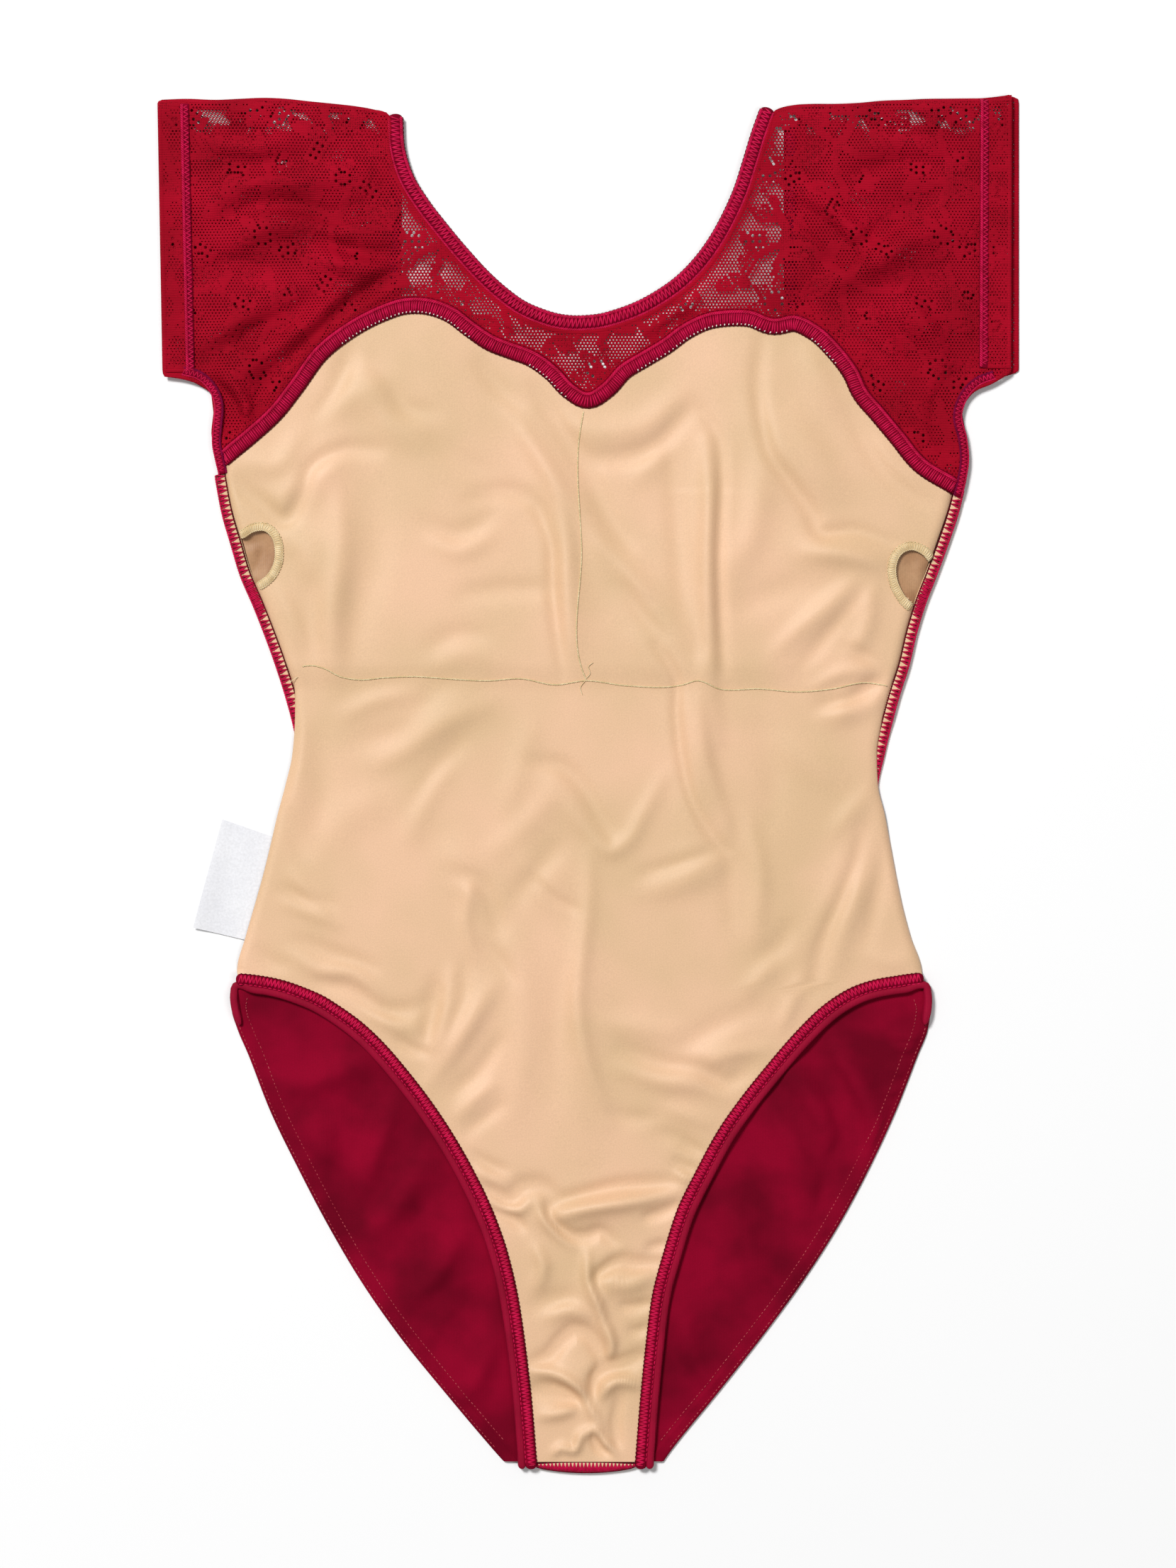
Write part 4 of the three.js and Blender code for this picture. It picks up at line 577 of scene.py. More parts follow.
class Ribbon:
    """A line on a surface, with places above it and to its left, or to its right where its hand is -1.

    A crown of (low side, high side, height) is the rounded ground that its threads lie on. A span is a start
    and an end along the line, and an end that isn't above 0 counts back from the line's own end.
    """

    def __init__(self, line, surface, crown=(0, 1, 0), hand=1, low=-math.inf):
        self.line = resampled(np.asarray(line, float), 1.0)
        self.beside = hand * normals(self.line)
        self.at = lengths(self.line)
        self.long = self.at[-1]
        self.surface, self.crown = surface, dome(*crown)
        self.hand, self.low = hand, low

    def ends(self, span):
        """A span's start and end, both counted from the line's start."""
        start, end = span
        return start, end if end > 0 else self.long + end

    def place(self, along, side, height):
        """Points so far along the line, so far beside it and so high over the surface."""
        along, side, height = np.broadcast_arrays(*(np.asarray(v, float) for v in (along, side, height)))
        x, y, nx, ny = (np.interp(along, self.at, row) for row in (*self.line.T, *self.beside.T))
        reach = np.maximum(side, self.low)
        z = self.surface(x + nx * reach, y + ny * reach) + height
        return np.stack([x + nx * side, y + ny * side, z], axis=-1)

    def strip(self, profile, step=1.4, round_ends=0.0, taper=None):
        """A strip with a profile of (side, height) pairs and rounded ends. A taper is a longer first end."""
        taper = taper or round_ends
        along = np.linspace(0.0, self.long, int(self.long / step) + 2)
        if round_ends:
            near = np.array([0.03, 0.1, 0.22, 0.4, 0.62, 0.85])
            along = np.sort(np.concatenate([along, taper * near, self.long - round_ends * near]))
        along = along[:, None]
        side, height = np.array(profile[::self.hand], float).T[:, None]
        if round_ends:
            shrink = round_over(np.minimum(along / taper, (self.long - along) / round_ends), 1) * 0.9 + 0.1
            side, height = side.mean() + (side - side.mean()) * shrink, height * shrink
        return self.place(along, side, height).reshape(-1, 3), grid_faces(len(along), len(profile))

    def zigzag(self, low, high, pitch, radius, above=0.0, lean=0.0, span=(0.5, -0.5)):
        """One thread that runs to and fro across the crown."""
        start, end = self.ends(span)
        across = np.array([0.0, 0.2, 0.5, 0.8])
        turns = np.arange(int((end - start) / pitch * 2))[:, None]
        share = np.where(turns % 2 == 0, across, 1 - across)
        side = (low + (high - low) * share).ravel()
        along = (start + (turns + across * 0.92 + 0.04) * pitch / 2 + lean * share).ravel()
        return tubes(self.place(along, side, self.crown(side) + above), radius)

    def wave(self, side, pitch, wide, radius, height, span, phase=0.0, swell=0.0):
        """One thread that waves beside the line, and rises and sinks by its swell."""
        along = np.arange(*self.ends(span), pitch / 6)
        turn = along / pitch * 2 * math.pi + phase
        sway = self.hand * wide * np.sin(turn)
        return tubes(self.place(along, side + sway, height + swell * np.cos(turn)), radius)

    def scallop(self, side, pitch, wide, radius, height, span=(0.0, 0.0)):
        """One thread that waves along the edge."""
        return self.wave(side, pitch, wide, radius, height, span)

    def braid(self, side, pitch, wide, radius, height, span=(0.0, 0.0)):
        """Two threads that cross over each other."""
        return joined([self.wave(side, pitch, wide, radius, height, span, phase, 0.5 * radius)
                       for phase in (0, math.pi)])

    def dashes(self, side, long, gap, radius, height, span=(0.6, -0.6), turn=0.0, uneven=0.0):
        """Separate stitches."""
        start, end = self.ends(span)
        share = np.array([-0.5, -0.3, 0.0, 0.3, 0.5])
        arch = np.array([-0.6, 0.2, 0.45, 0.2, -0.6]) * radius
        middle = np.arange(start + long / 2, end - long / 2, long + gap)[:, None]
        reach = share * (long * (1 + uneven * np.sin(2.4 * np.arange(len(middle))))[:, None])
        along = middle + reach * math.cos(turn)
        return tubes(self.place(along, side + self.hand * reach * math.sin(turn), height + arch), radius)

    def bars(self, low, high, pitch, radius, above, reaches, bend=(0.0, 0.25, 0.8, 1.0), span=(0.8, -0.8)):
        """Stitches across the crown, each forked to the reaches, in parts of the pitch."""
        middle = np.arange(*self.ends(span), pitch)[:, None, None]
        middle = middle + 0.12 * pitch * np.sin(3.7 * middle)
        side = low + (high - low) * np.array([0.0, 0.35, 0.7, 1.0])
        along = middle + np.array(bend) * np.array(reaches)[:, None] * pitch
        return tubes(self.place(along, side, self.crown(side) + above).reshape(-1, 4, 3), radius)


# ---------------------------------------------------------------- materials


def linear(colour):
    """An sRGB colour, 0 to 255, in linear light."""
    share = [c / 255 for c in colour]
    return [c / 12.92 if c <= 0.04045 else ((c + 0.055) / 1.055) ** 2.4 for c in share] + [1.0]


def cloth(name, colour, other, roughness, sheen=0.0, mottle=18.0, ribs=None, rib_depth=0.0, across=False,
          grain=900.0, grain_depth=0.05, specular=0.3, rib_tint=0.0, waver=0.6, dots=None):
    """A fabric: two colours mottled together, ribs so many mm apart that waver, dark dots so many mm apart
    whose dark is painted shade in fine holes, and a fibrous grain."""
    material = bpy.data.materials.new(name)
    material.use_nodes = True
    nodes, links = material.node_tree.nodes, material.node_tree.links

    def fill(node, inputs):
        """Set a node's inputs to numbers and colours, or link them to other nodes' outputs."""
        for key, value in inputs.items():
            if isinstance(value, bpy.types.NodeSocket):
                links.new(value, node.inputs[key])
            else:
                node.inputs[key].default_value = value

    def add(kind, output, inputs, **settings):
        """The output of a new node."""
        node = nodes.new("ShaderNode" + kind)
        for key, value in settings.items():
            setattr(node, key, value)
        fill(node, inputs)
        return node.outputs[output]

    def noise(scale, detail):
        return add("TexNoise", "Fac", {"Scale": scale, "Detail": detail, "Vector": place})

    def spread(value, low, high, to_low=0.0, to_high=1.0):
        return add("MapRange", "Result", {"Value": value, "From Min": low, "From Max": high,
                                          "To Min": to_low, "To Max": to_high})

    def mix(first, second, factor, how="MIX"):
        return add("Mix", "Result", {"Factor": factor, "A": first, "B": second}, data_type="RGBA",
                   blend_type=how)

    def bump(strength, distance, height, **under):
        return add("Bump", "Normal", {"Strength": strength, "Distance": distance, "Height": height, **under})

    place = add("TexCoord", "Object", {})
    # The mottle is each fabric's own uneven tone, and in the jersey it is also painted shade.
    tone_and_shade_patches = spread(noise(mottle, 3.0), 0.36, 0.64)
    fibre = noise(grain, 2.0)
    mixed = mix(linear(colour), linear(other), tone_and_shade_patches)
    result = mix(mixed, spread(fibre, 0.25, 0.75, 0.75, 1.15), 0.35, "MULTIPLY")
    normal = bump(grain_depth, 0.0004, fibre)
    if ribs:
        density = 2 * math.pi / (20 * ribs * MM)
        wave = add("TexWave", "Fac",
                   {"Scale": density, "Distortion": waver, "Detail Scale": 0.4, "Vector": place},
                   bands_direction="Y" if across else "X")
        normal = bump(rib_depth, 0.0003, wave, Normal=normal)
        if rib_tint:
            result = mix(result, wave, rib_tint, "MULTIPLY")
    # Dark dots stand for fine holes in the net. The bump sinks them, and their dark is painted shade of what
    # lies under them.
    if dots:
        cells = add("TexVoronoi", "Distance", {"Scale": 1 / (dots * MM), "Randomness": 0.4, "Vector": place})
        shaded_holes = spread(cells, 0.16, 0.42, 0.35)
        result = mix(result, shaded_holes, spread(noise(75, 1.0), 0.42, 0.56, 0.0, 0.85), "MULTIPLY")
        normal = bump(0.3, 0.0003, shaded_holes, Normal=normal)
    fill(nodes["Principled BSDF"], {
        "Roughness": roughness, "Specular IOR Level": specular, "Sheen Weight": sheen, "Sheen Roughness": 0.4,
        "Base Color": result, "Normal": normal,
    })
    return material


SATIN = cloth("lining_satin", (234, 190, 153), (220, 183, 141), 0.55, mottle=14, ribs=0.8, rib_depth=0.04,
              grain=1500, grain_depth=0.12, specular=0.55, rib_tint=0.02, waver=1.5)
# The facing's tan, darker than the lining's, is painted shade of the pocket that the pad openings show.
FACING_PAINTED_SHADE = cloth("facing_satin_painted_shade", (188, 146, 108), (168, 124, 88), 0.5, sheen=0.2, mottle=60, ribs=0.9,
               rib_depth=0.15)
# The jersey's red is its own. Its darker second tone, mottled in broad patches, is painted shade and sheen of
# its folds and pile.
JERSEY_PAINTED_SHADE = cloth("jersey", (142, 3, 39), (108, 2, 28), 0.85, mottle=26, ribs=0.8, rib_depth=0.12, grain=1400,
               grain_depth=0.12, specular=0.06, rib_tint=0.06, waver=1.0)
# The lace's dots are painted shade in the fine holes of its net.
LACE = cloth("lace_red", (182, 6, 38), (162, 4, 31), 0.8, mottle=30, ribs=0.84, rib_depth=0.4, across=True,
             grain=1600, grain_depth=0.12, rib_tint=0.34, specular=0.08, waver=3.0, dots=1.15)
BAND = cloth("overlock_ground", (134, 2, 38), (108, 2, 28), 0.85, mottle=150, ribs=0.9, rib_depth=0.2,
             specular=0.05)
THREAD = cloth("overlock_thread", (206, 14, 76), (178, 8, 58), 0.6, mottle=320, grain=2200, grain_depth=0.2,
               specular=0.15)
DARK_THREAD = cloth("overlock_dark_thread", (96, 4, 20), (74, 2, 16), 0.7, mottle=260, specular=0.08)
PLUM_THREAD = cloth("overlock_plum_thread", (132, 4, 62), (112, 3, 50), 0.65, mottle=260, specular=0.1)
ELASTIC = cloth("leg_elastic", (158, 5, 48), (144, 4, 42), 0.7, mottle=60, ribs=0.7, rib_depth=0.3,
                grain=1500, grain_depth=0.2, rib_tint=0.12, specular=0.12)
HEM_THREAD = cloth("hem_thread", (204, 92, 100), (176, 50, 66), 0.7, mottle=300, specular=0.1)
CREAM = cloth("cream_thread", (240, 222, 182), (222, 198, 152), 0.65, mottle=200, grain=1600)
TAN = cloth("tan_ground", (226, 198, 154), (206, 176, 130), 0.7, mottle=200)
OLIVE = cloth("stitch_thread", (206, 190, 140), (184, 164, 118), 0.7, mottle=300)
WHITE_THREAD = cloth("white_thread", (250, 246, 240), (238, 226, 214), 0.6, mottle=300)
LABEL = cloth("label_satin", (238, 238, 241), (232, 232, 236), 0.4, sheen=0.2, mottle=40, ribs=0.35,
              rib_depth=0.1, across=True, specular=0.4)

# ---------------------------------------------------------------- lining, facing and shell


def front_rows(step):
    """Rows of the front: (level, share of the way up to the yoke seam)."""
    levels = np.linspace(CROTCH_Y, LEVEL_Y, int((LEVEL_Y - CROTCH_Y) / step) + 1)
    bends = np.linspace(0, 1, int(135 / step) + 1)[1:]
    return [(level, 0.0) for level in levels] + [(LEVEL_Y, bend) for bend in bends]


def front_plan(step, edges, lowest=CROTCH_Y):
    """Plan positions of a grid over the front, with the given distances in from each side."""
    edges = np.array(edges)
    corner_y = [float(cut_height(BODY[0][k])) for k in (1, 2)]
    x, y = [], []
    for level, bend in front_rows(step):
        if level < lowest:
            continue
        side_y = [LEVEL_Y + bend * (corner - LEVEL_Y) if bend else level for corner in corner_y]
        left, right = float(body_left(side_y[0])), float(body_right(side_y[1]))
        inner = np.linspace(left + edges[-1], right - edges[-1], int(340 / step))
        across = np.concatenate([left + edges[:-1], inner, (right - edges[:-1])[::-1]])
        x.append(across)
        y.append(LEVEL_Y + bend * (cut_height(across) - LEVEL_Y) if bend else np.full(len(across), level))
    return np.array(x), np.array(y)


def rolled(x, y, top, lip):
    """The height of a sheet that rolls down to its lip at both sides of the body."""
    share = np.where(y < HIP_Y, 1, round_over(from_side(body_edges, x, y), 5))
    return lip + (top - lip) * share


def lip_height(x, y):
    """The height of the front's layers at the side seams."""
    return np.where(x < 0, LIP * ease(y, -93, -87), LIP * ease(y, -30, -14))


opening_lines = {side: curve(points) for side, points in PAD_OPENINGS.items()}


def make_lining():
    x, y = front_plan(1.6, [0.0, 0.25, 0.7, 1.3, 2.1, 3.1, 4.2, 5.5])
    points, faces = sheet(x, y, rolled(x, y, lining_top(x, y) - 0.15, lip_height(x, y)))
    middle = points[faces].mean(axis=1)
    keep = np.ones(len(faces), bool)
    for line in opening_lines.values():
        keep &= ~within(line, middle[:, 0], middle[:, 1])
        near = np.abs(points[:, 0]) > 140
        d, px, py = distance_to(line, points[near, 0], points[near, 1], closest=True)
        snap = (d < 1.0) & (py > 88)
        moved = points[near]
        moved[snap, 0], moved[snap, 1] = px[snap], py[snap]
        points[near] = moved
    return piece("lining", [(SATIN, (points, faces[keep]))], "front_lining")


def pocket(x, y):
    """How far inside a pad opening a place is, where the layers lie apart, from 0 to 1."""
    return ease(np.abs(x), 132, 148) * ease(y, 74, 88)


def make_facing():
    x, y = front_plan(2.4, [0.6, 1.2, 2.4, 4.0, 6.0], lowest=62)
    top = lining_top(x, y) - FACING_UNDER - FACING_APART * pocket(x, y)
    top = top + POCKET_CREASE * crease(pocket_creases, x, y)
    points, faces = sheet(x, y, rolled(x, y, top, lip_height(x, y) + 0.1))
    low = (y > BUST_Y) & (y < cut_height(x) - 3)
    return piece("facing", [(FACING_PAINTED_SHADE, (points, faces[low.ravel()[faces].all(axis=1)]))], "bust_facing")


def make_shell():
    """The front's right side, which lies face down under the lining."""
    x, y = front_plan(3.2, [0.8, 1.4, 2.6, 4.2, 6.0])
    top = lining_top(x, y) - SHELL_UNDER - SHELL_APART * pocket(x, y)
    points, faces = sheet(x, y, np.maximum(rolled(x, y, top, lip_height(x, y) + 0.05), 0.4))
    below = (y < cut_height(x) - 3).ravel()
    return piece("shell", [(JERSEY_PAINTED_SHADE, (points, faces[below[faces].all(axis=1)]))], "front_shell")


# ---------------------------------------------------------------- lace

CELL = 1.7
ROW = 0.866 * CELL
SINGLE_NET, SINGLE_NET_SIDE, SINGLE_MOTIF = 0.46, 0.56, 0.62
# A drop repeat that tiles the lace: flowers (x, y, radius, petals, turn), leaves (x, y, half length, half
# width, turn, inside: 0 solid, 1 dotted, 2 fine net), stems (points) and eyelets of eight holes (x, y, turn).
TILE_WIDE, TILE_TALL = 84.0, 66.0
FLOWERS = [(18, 16, 13, 6, 0.3), (60, 46, 11, 5, 1.1), (66, 8, 7, 5, 0.2), (30, 54, 6, 5, 0.9)]
LEAVES = [
    (40, 22, 11, 5.0, 28, 2), (4, 36, 12, 4.6, 74, 1), (76, 26, 10, 4.8, -48, 2), (44, 4, 9, 3.8, -14, 1),
    (14, 60, 9, 4.2, -32, 2), (46, 38, 8, 3.4, 66, 0), (80, 60, 8, 4.0, 22, 1), (28, 38, 7, 3.2, -8, 2),
]
STEMS = [
    [(-4, 26), (12, 40), (30, 44), (48, 30), (66, 20), (88, 26)],
    [(18, 30), (24, 46), (20, 66)],
    [(60, 34), (52, 20), (56, 0)],
]
EYELETS = [(30, 10, 20), (72, 40, -35), (48, 60, 60), (8, 48, -10)]


def lace_holes(x, y, drop, net, worn, motif):
    """How open the lace is at each cell, from 0 where it is solid to 1: net where it is plain, motif times
    that inside its flowers and leaves, and worn more at the shoulder folds."""
    u = x + drop[0] + 2.2 * np.sin(y / 23)
    v = y + drop[1] + 2.0 * np.sin(x / 27)
    v = v + (np.floor(u / TILE_WIDE) % 2) * TILE_TALL / 2

    def apart(cx, cy):
        """The offset from a place in the tile to each cell."""
        dx = (u - cx + TILE_WIDE / 2) % TILE_WIDE - TILE_WIDE / 2
        dy = (v - cy + TILE_TALL / 2) % TILE_TALL - TILE_TALL / 2
        return dx, dy

    column = np.round(x / CELL * 2).astype(int)
    row = np.round(y / ROW).astype(int)
    sparse = ((column + row) % 4 == 0) & (row % 2 == 0)
    patchy = np.sin(x * 0.31 + 2 * np.sin(y * 0.17)) * np.sin(y * 0.43 + 1.3 * np.sin(x * 0.13))
    stretched = ease(y, 316, 328) * ease(patchy, -0.9, 0.3)
    size = net * (1 + 0.12 * patchy + worn * stretched)
    for line in STEMS:
        near = np.full(x.shape, np.inf)
        for px, py in curve(line, 3):
            near = np.minimum(near, np.hypot(*apart(px, py)))
        size = np.where(near < 2.0, 0, size)
    for cx, cy, half_long, half_wide, turn, inside in LEAVES:
        along, side = turned(*apart(cx, cy), turn)
        edge = half_wide * np.clip(1 - (along / half_long) ** 2, 0, 1)
        leaf = np.abs(side) < edge
        size = np.where(leaf, [motif * net, np.where(sparse, 1.1, motif) * net, 0.75 * net][inside], size)
        size = np.where(leaf & ((edge - np.abs(side) < 1.3) | (np.abs(side) < 0.6)), 0.0, size)
    for cx, cy, radius, petals, turn in FLOWERS:
        dx, dy = apart(cx, cy)
        r, angle = np.hypot(dx, dy), np.arctan2(dy, dx) - turn
        reach = radius * (0.74 + 0.26 * np.cos(petals * angle))
        size = np.where(r < reach, np.where(sparse, 0.9, motif) * net, size)
        size = np.where((r < reach) & (reach - r < 1.6), 0.0, size)
        ring = radius * 0.33
        size = np.where(r < ring + 1.6, 0.0, size)
        size = np.where((np.abs(r - ring) < 0.9) & (np.cos(8 * angle) > 0), 0.8, size)
    for cx, cy, turn in EYELETS:
        along, side = turned(*apart(cx, cy), turn)
        size = np.where((np.abs(along) < 6.4) & (np.abs(side) < 3.4), 0.0, size)
        hole = (np.abs((along + 5.1) % 3.4 - 1.7) < 0.95) & (np.abs(np.abs(side) - 1.7) < 0.85)
        size = np.where((np.abs(along) < 5.6) & hole, 0.82, size)
    return size


def border(outline, height):
    """A solid strip round a lace's outline."""
    after = np.roll(outline, -1, axis=0)
    turns_left = np.sum(outline[:, 0] * after[:, 1] - after[:, 0] * outline[:, 1]) > 0
    loop = outline if turns_left else outline[::-1]
    line = Ribbon(np.vstack([loop, loop[:1]]), height, low=0.3)
    return line.strip([(-0.35, -0.15), (-0.25, 0.15), (0.4, 0.3), (1.2, 0.26), (1.6, 0.05)], step=2.0)


def hexagons(outline, height, drop, net, worn=0.6, shift=0.0, relief=0.16):
    """A net of six-sided cells over an outline, each with its hole. Its share open is net, or SINGLE_NET to
    SINGLE_NET_SIDE where only this layer lies across the open back."""
    low, high = outline.min(axis=0), outline.max(axis=0)
    rows = np.arange(math.floor(low[1] / ROW), math.ceil(high[1] / ROW) + 1)
    columns = np.arange(math.floor(low[0] / CELL) - 1, math.ceil(high[0] / CELL) + 1)
    i, j = np.meshgrid(columns, rows)
    x = ((i + 0.5 * (j % 2)) * CELL).ravel() + shift
    y = (j * ROW).ravel()
    loop = np.vstack([outline, outline[:1]])
    from_edge = distance_to(loop, x, y)
    kept = within(outline, x, y) | (from_edge < 0.45 * CELL)
    x, y, from_edge = x[kept], y[kept], from_edge[kept]

    def snapped(x, y):
        """Places with those outside the outline moved onto it."""
        outside = ~within(outline, x, y)
        _, px, py = distance_to(loop, x[outside], y[outside], closest=True)
        x[outside], y[outside] = px, py
        return np.stack([x, y], axis=-1)

    # The cells share their corners.
    turn = np.radians(np.arange(6) * 60 + 30)
    corner_x = (x[:, None] + CELL / math.sqrt(3) * np.cos(turn)).ravel()
    corner_y = (y[:, None] + CELL / math.sqrt(3) * np.sin(turn)).ravel()
    keys = np.round(np.stack([corner_x, corner_y], axis=-1) * 20).astype(int)
    _, first, index = np.unique(keys, axis=0, return_index=True, return_inverse=True)
    index = index.reshape(-1, 6)
    shared = snapped(corner_x[first], corner_y[first])

    alone = (x > SCOOP_X - SCOOP_HALF - 5) & (x < SCOOP_X + SCOOP_HALF + 6)
    single = SINGLE_NET + (SINGLE_NET_SIDE - SINGLE_NET) * ease(np.abs(x), 45, 80)
    share = lace_holes(x, y, drop, np.where(alone, single, net), worn, np.where(alone, SINGLE_MOTIF, 0))
    share = np.minimum(share, np.where(from_edge < 4, net, 0.86))
    share = np.where(from_edge < 0.7 * CELL, 0, share)
    solid = share < 0.15
    centre = snapped(x, y)
    ring = centre[~solid, None] + (shared[index[~solid]] - centre[~solid, None]) * share[~solid, None, None]
    plan = np.concatenate([shared, centre[solid], ring.reshape(-1, 2)])
    thick = np.zeros(len(shared))
    np.add.at(thick, index.ravel(), np.repeat(solid, 6))
    raised = np.concatenate([np.clip(thick / 2, 0, 1), np.ones(solid.sum()), np.zeros(ring.shape[0] * 6)])
    points = np.column_stack([plan, height(plan[:, 0], plan[:, 1]) + relief * raised])

    # A solid cell is a fan about its centre, and an open one has six faces round its hole.
    turns = np.arange(6)
    after = np.roll(index, -1, axis=1)
    centres = np.repeat((len(shared) + np.arange(solid.sum()))[:, None], 6, axis=1)
    fans = np.stack([index[solid], after[solid], centres], axis=-1)
    start = len(shared) + solid.sum() + np.arange(ring.shape[0])[:, None] * 6
    quads = np.stack([index[~solid], after[~solid], start + (turns + 1) % 6, start + turns], axis=-1)
    return points, [*fans.reshape(-1, 3).tolist(), *quads.reshape(-1, 4).tolist()]


def lace(outline, height, drop, **net):
    """A lace's layers: its net and the solid strip round it."""
    return [(LACE, hexagons(outline, height, drop, **net)), (LACE, border(outline, height))]


high_line = curve(ribs[:, 2:], 1.5)
lace_outline = np.vstack([curve(ribs[:, :2], 1.5), high_line[::-1]])
shoulders = high_line[high_line[:, 0] < -99], high_line[high_line[:, 0] > 93]


def folded(x, y, top, low):
    """The height of lace that turns over at a shoulder."""
    shoulder = np.minimum(*(distance_to(line[::4], x, y) for line in shoulders))
    return low + (top - low) * round_over(shoulder, 7)


def make_front_lace():
    def height(x, y):
        return folded(x, y, lace_top(x, y), 0.5)

    return piece("lace_front", lace(lace_outline, height, (12, 9), net=0.42), "front_yoke")


def make_back_lace(side):
    neck = SCOOP_X - INWARD[side] * (SCOOP_HALF + NECK_WIDE + GAP)
    if side == "left":
        arm = [(-182, 150.3), (-185.3, 172), (-184.8, 184), (-186, 194), (-198, 201), (-210, 203),
               (-212.5, 337.5)]
        shoulder = high_line[high_line[:, 0] < -103]
    else:
        arm = [(184, 150.3), (188, 160), (187, 172), (184.5, 186), (191, 196), (205, 201.5), (213, 204),
               (213, 338.5)]
        shoulder = high_line[high_line[:, 0] > 107][::-1]
    outline = np.vstack([[(neck, 150.3)], arm, shoulder - [0, 0.4], [(neck, 332)]])
    drop = {"left": (47, 31), "right": (21, 50)}[side]
    layers = lace(outline, lambda x, y: np.full(np.shape(x), 0.55), drop, net=0.34, worn=1.7, shift=CELL / 2)
    return piece(f"lace_back_{side}", layers, f"back_lace_{side}")


def make_sleeve_hem(side):
    """The turned edge of a sleeve: a second layer of lace, held by a narrow flat seam."""
    inward = INWARD[side]
    rib, wide, drop = {"left": (0, 12.6, (60, 14)), "right": (-1, 13.2, (33, 44))}[side]
    low, high = ribs[rib, :2], ribs[rib, 2:]
    outer = low + (high - low) * np.linspace(0.015, 0.985, 60)[:, None] + [0.2 * inward, 0]
    stitch = outer + [wide * inward, 0]

    def height(x, y):
        return folded(x, y, lace_top(x, y) + 0.55 + 0.12 * np.sin(y * 0.42), 1.0)

    seam = Ribbon(stitch[::inward], height, hand=inward)
    return piece(f"sleeve_edge_{side}", [
        *lace(np.vstack([outer, stitch[::-1]]), height, drop, net=0.36),
        (BAND, seam.strip([(-2.2, 0), (-1.9, 0.35), (-0.9, 0.5), (0.9, 0.5), (1.9, 0.35), (2.2, 0)])),
        (THREAD, seam.braid(1.2, 2.3, 0.5, 0.42, 0.7)),
        (THREAD, seam.zigzag(-1.9, 0.4, 2.3, 0.34, 0.6)),
    ], f"sleeve_hem_{side}")


# ---------------------------------------------------------------- sewn edges


def profile(low, high, tall, foot=-0.4):
    """The profile of a rounded strip, down to the surface at both sides."""
    side = np.linspace(low, high, 9)[1:-1]
    inner = zip(side, dome(low, high, tall)(side))
    return [(low, foot), (low + 0.12, 0.25), *inner, (high - 0.12, 0.25), (high, foot)]


def bank(crown, across, first, last):
    """The profile of a strip beside its line, on a crown between the given heights at its two feet."""
    across = np.array(across)
    between = dome(*crown)(across[len(first):-len(last)])
    return list(zip(across, [*first, *between, *last]))[::-1]


def on_lining(x, y):
    """The height of the lining, with its rolled sides."""
    return rolled(x, y, lining_top(x, y), lip_height(x, y) + 0.3)


def make_yoke_seam():
    start, end = (lining_cut[k] + YOKE_REACH * (lining_cut[k] - lining_cut[j]) / 2
                  for k, j in ((0, 2), (-1, -3)))
    line = Ribbon(np.vstack([start, lining_cut[1:-1], end])[::-1], on_lining, (-2.6, 4.8, 1.35), low=0.4)
    knots = [line.bars(-1.9, 3.2, 0.7, 0.5, 0.25, (0.9,), span=(at - 1.8, at + 1.6))
             for at in (3.4, line.long - 3.4)]
    teeth = []
    for low, high in TEETH:
        span = [float(line.at[np.argmin(np.abs(line.line[:, 0] - x))]) for x in (high, low)]
        teeth.append(line.dashes(4.2, 0.75, 1.45, 0.3, 0.72, span, turn=1.2, uneven=0.45))
    return piece("yoke_overlock", [
        (BAND, line.strip(profile(-2.7, 4.8, 1.2), round_ends=3.0)),
        (THREAD, line.braid(-1.8, 2.15, 0.5, 0.46, 1.15, (1.6, -1.6))),
        (BAND, line.dashes(-3.2, 1.9, 0.4, 0.26, 0.25, (3, -3))),
        (THREAD, line.bars(-1.2, 4.3, 1.16, 0.42, 0.02, (0.3,), (0.0, 0.4, 0.7, 1.0), (1.6, -1.6))),
        (THREAD, joined(knots)),
        (DARK_THREAD, line.scallop(4.75, 2.1, 0.2, 0.27, 0.42, (2.4, -2.4))),
        (DARK_THREAD, line.scallop(5.0, 2.1, -0.2, 0.2, 0.28, (2.8, -2.8))),
        (WHITE_THREAD, joined(teeth)),
    ], "yoke_seam")


def make_neck_binding():
    line = Ribbon(neck_edge, rest, (-0.2, 7.4, 2.3))
    return piece("neck_overlock", [
        (BAND, line.strip(profile(-0.1, 7.5, 2.15, foot=0.05), round_ends=2.5)),
        (THREAD, line.zigzag(1.4, 6.3, 2.2, 0.44, 0.05, 0.8, (1.6, -1.6))),
        (THREAD, line.braid(6.7, 2.2, 0.5, 0.42, 1.75, (1.8, -1.8))),
        (THREAD, line.braid(0.7, 2.2, 0.35, 0.34, 1.5, (1.8, -1.8))),
        (DARK_THREAD, line.scallop(7.55, 2.2, 0.12, 0.26, 0.7, (1.8, -1.8))),
    ], "neck_binding")


def leg_line(side):
    """The lining's cut edge at a leg, from the tip at the hip to just past the crotch."""
    edge = {"left": body_left, "right": body_right}[side]
    y = np.linspace(-101.8, CROTCH_Y, 60)
    cut_points = np.column_stack([edge(y), y])
    return curve(np.vstack([LEG_TIP[side], cut_points, cut_points[-1] + [0, -3.6]]))


def leg_roll_height(x, y):
    """Where the roll beside a leg band rests: on the back, and lower round the hip's corner."""
    raised = ease(y, -106, -101)
    return 1.6 + 1.9 * raised * (1 - ease(np.abs(x), 168, 173)) + 1.9 * (1 - raised)


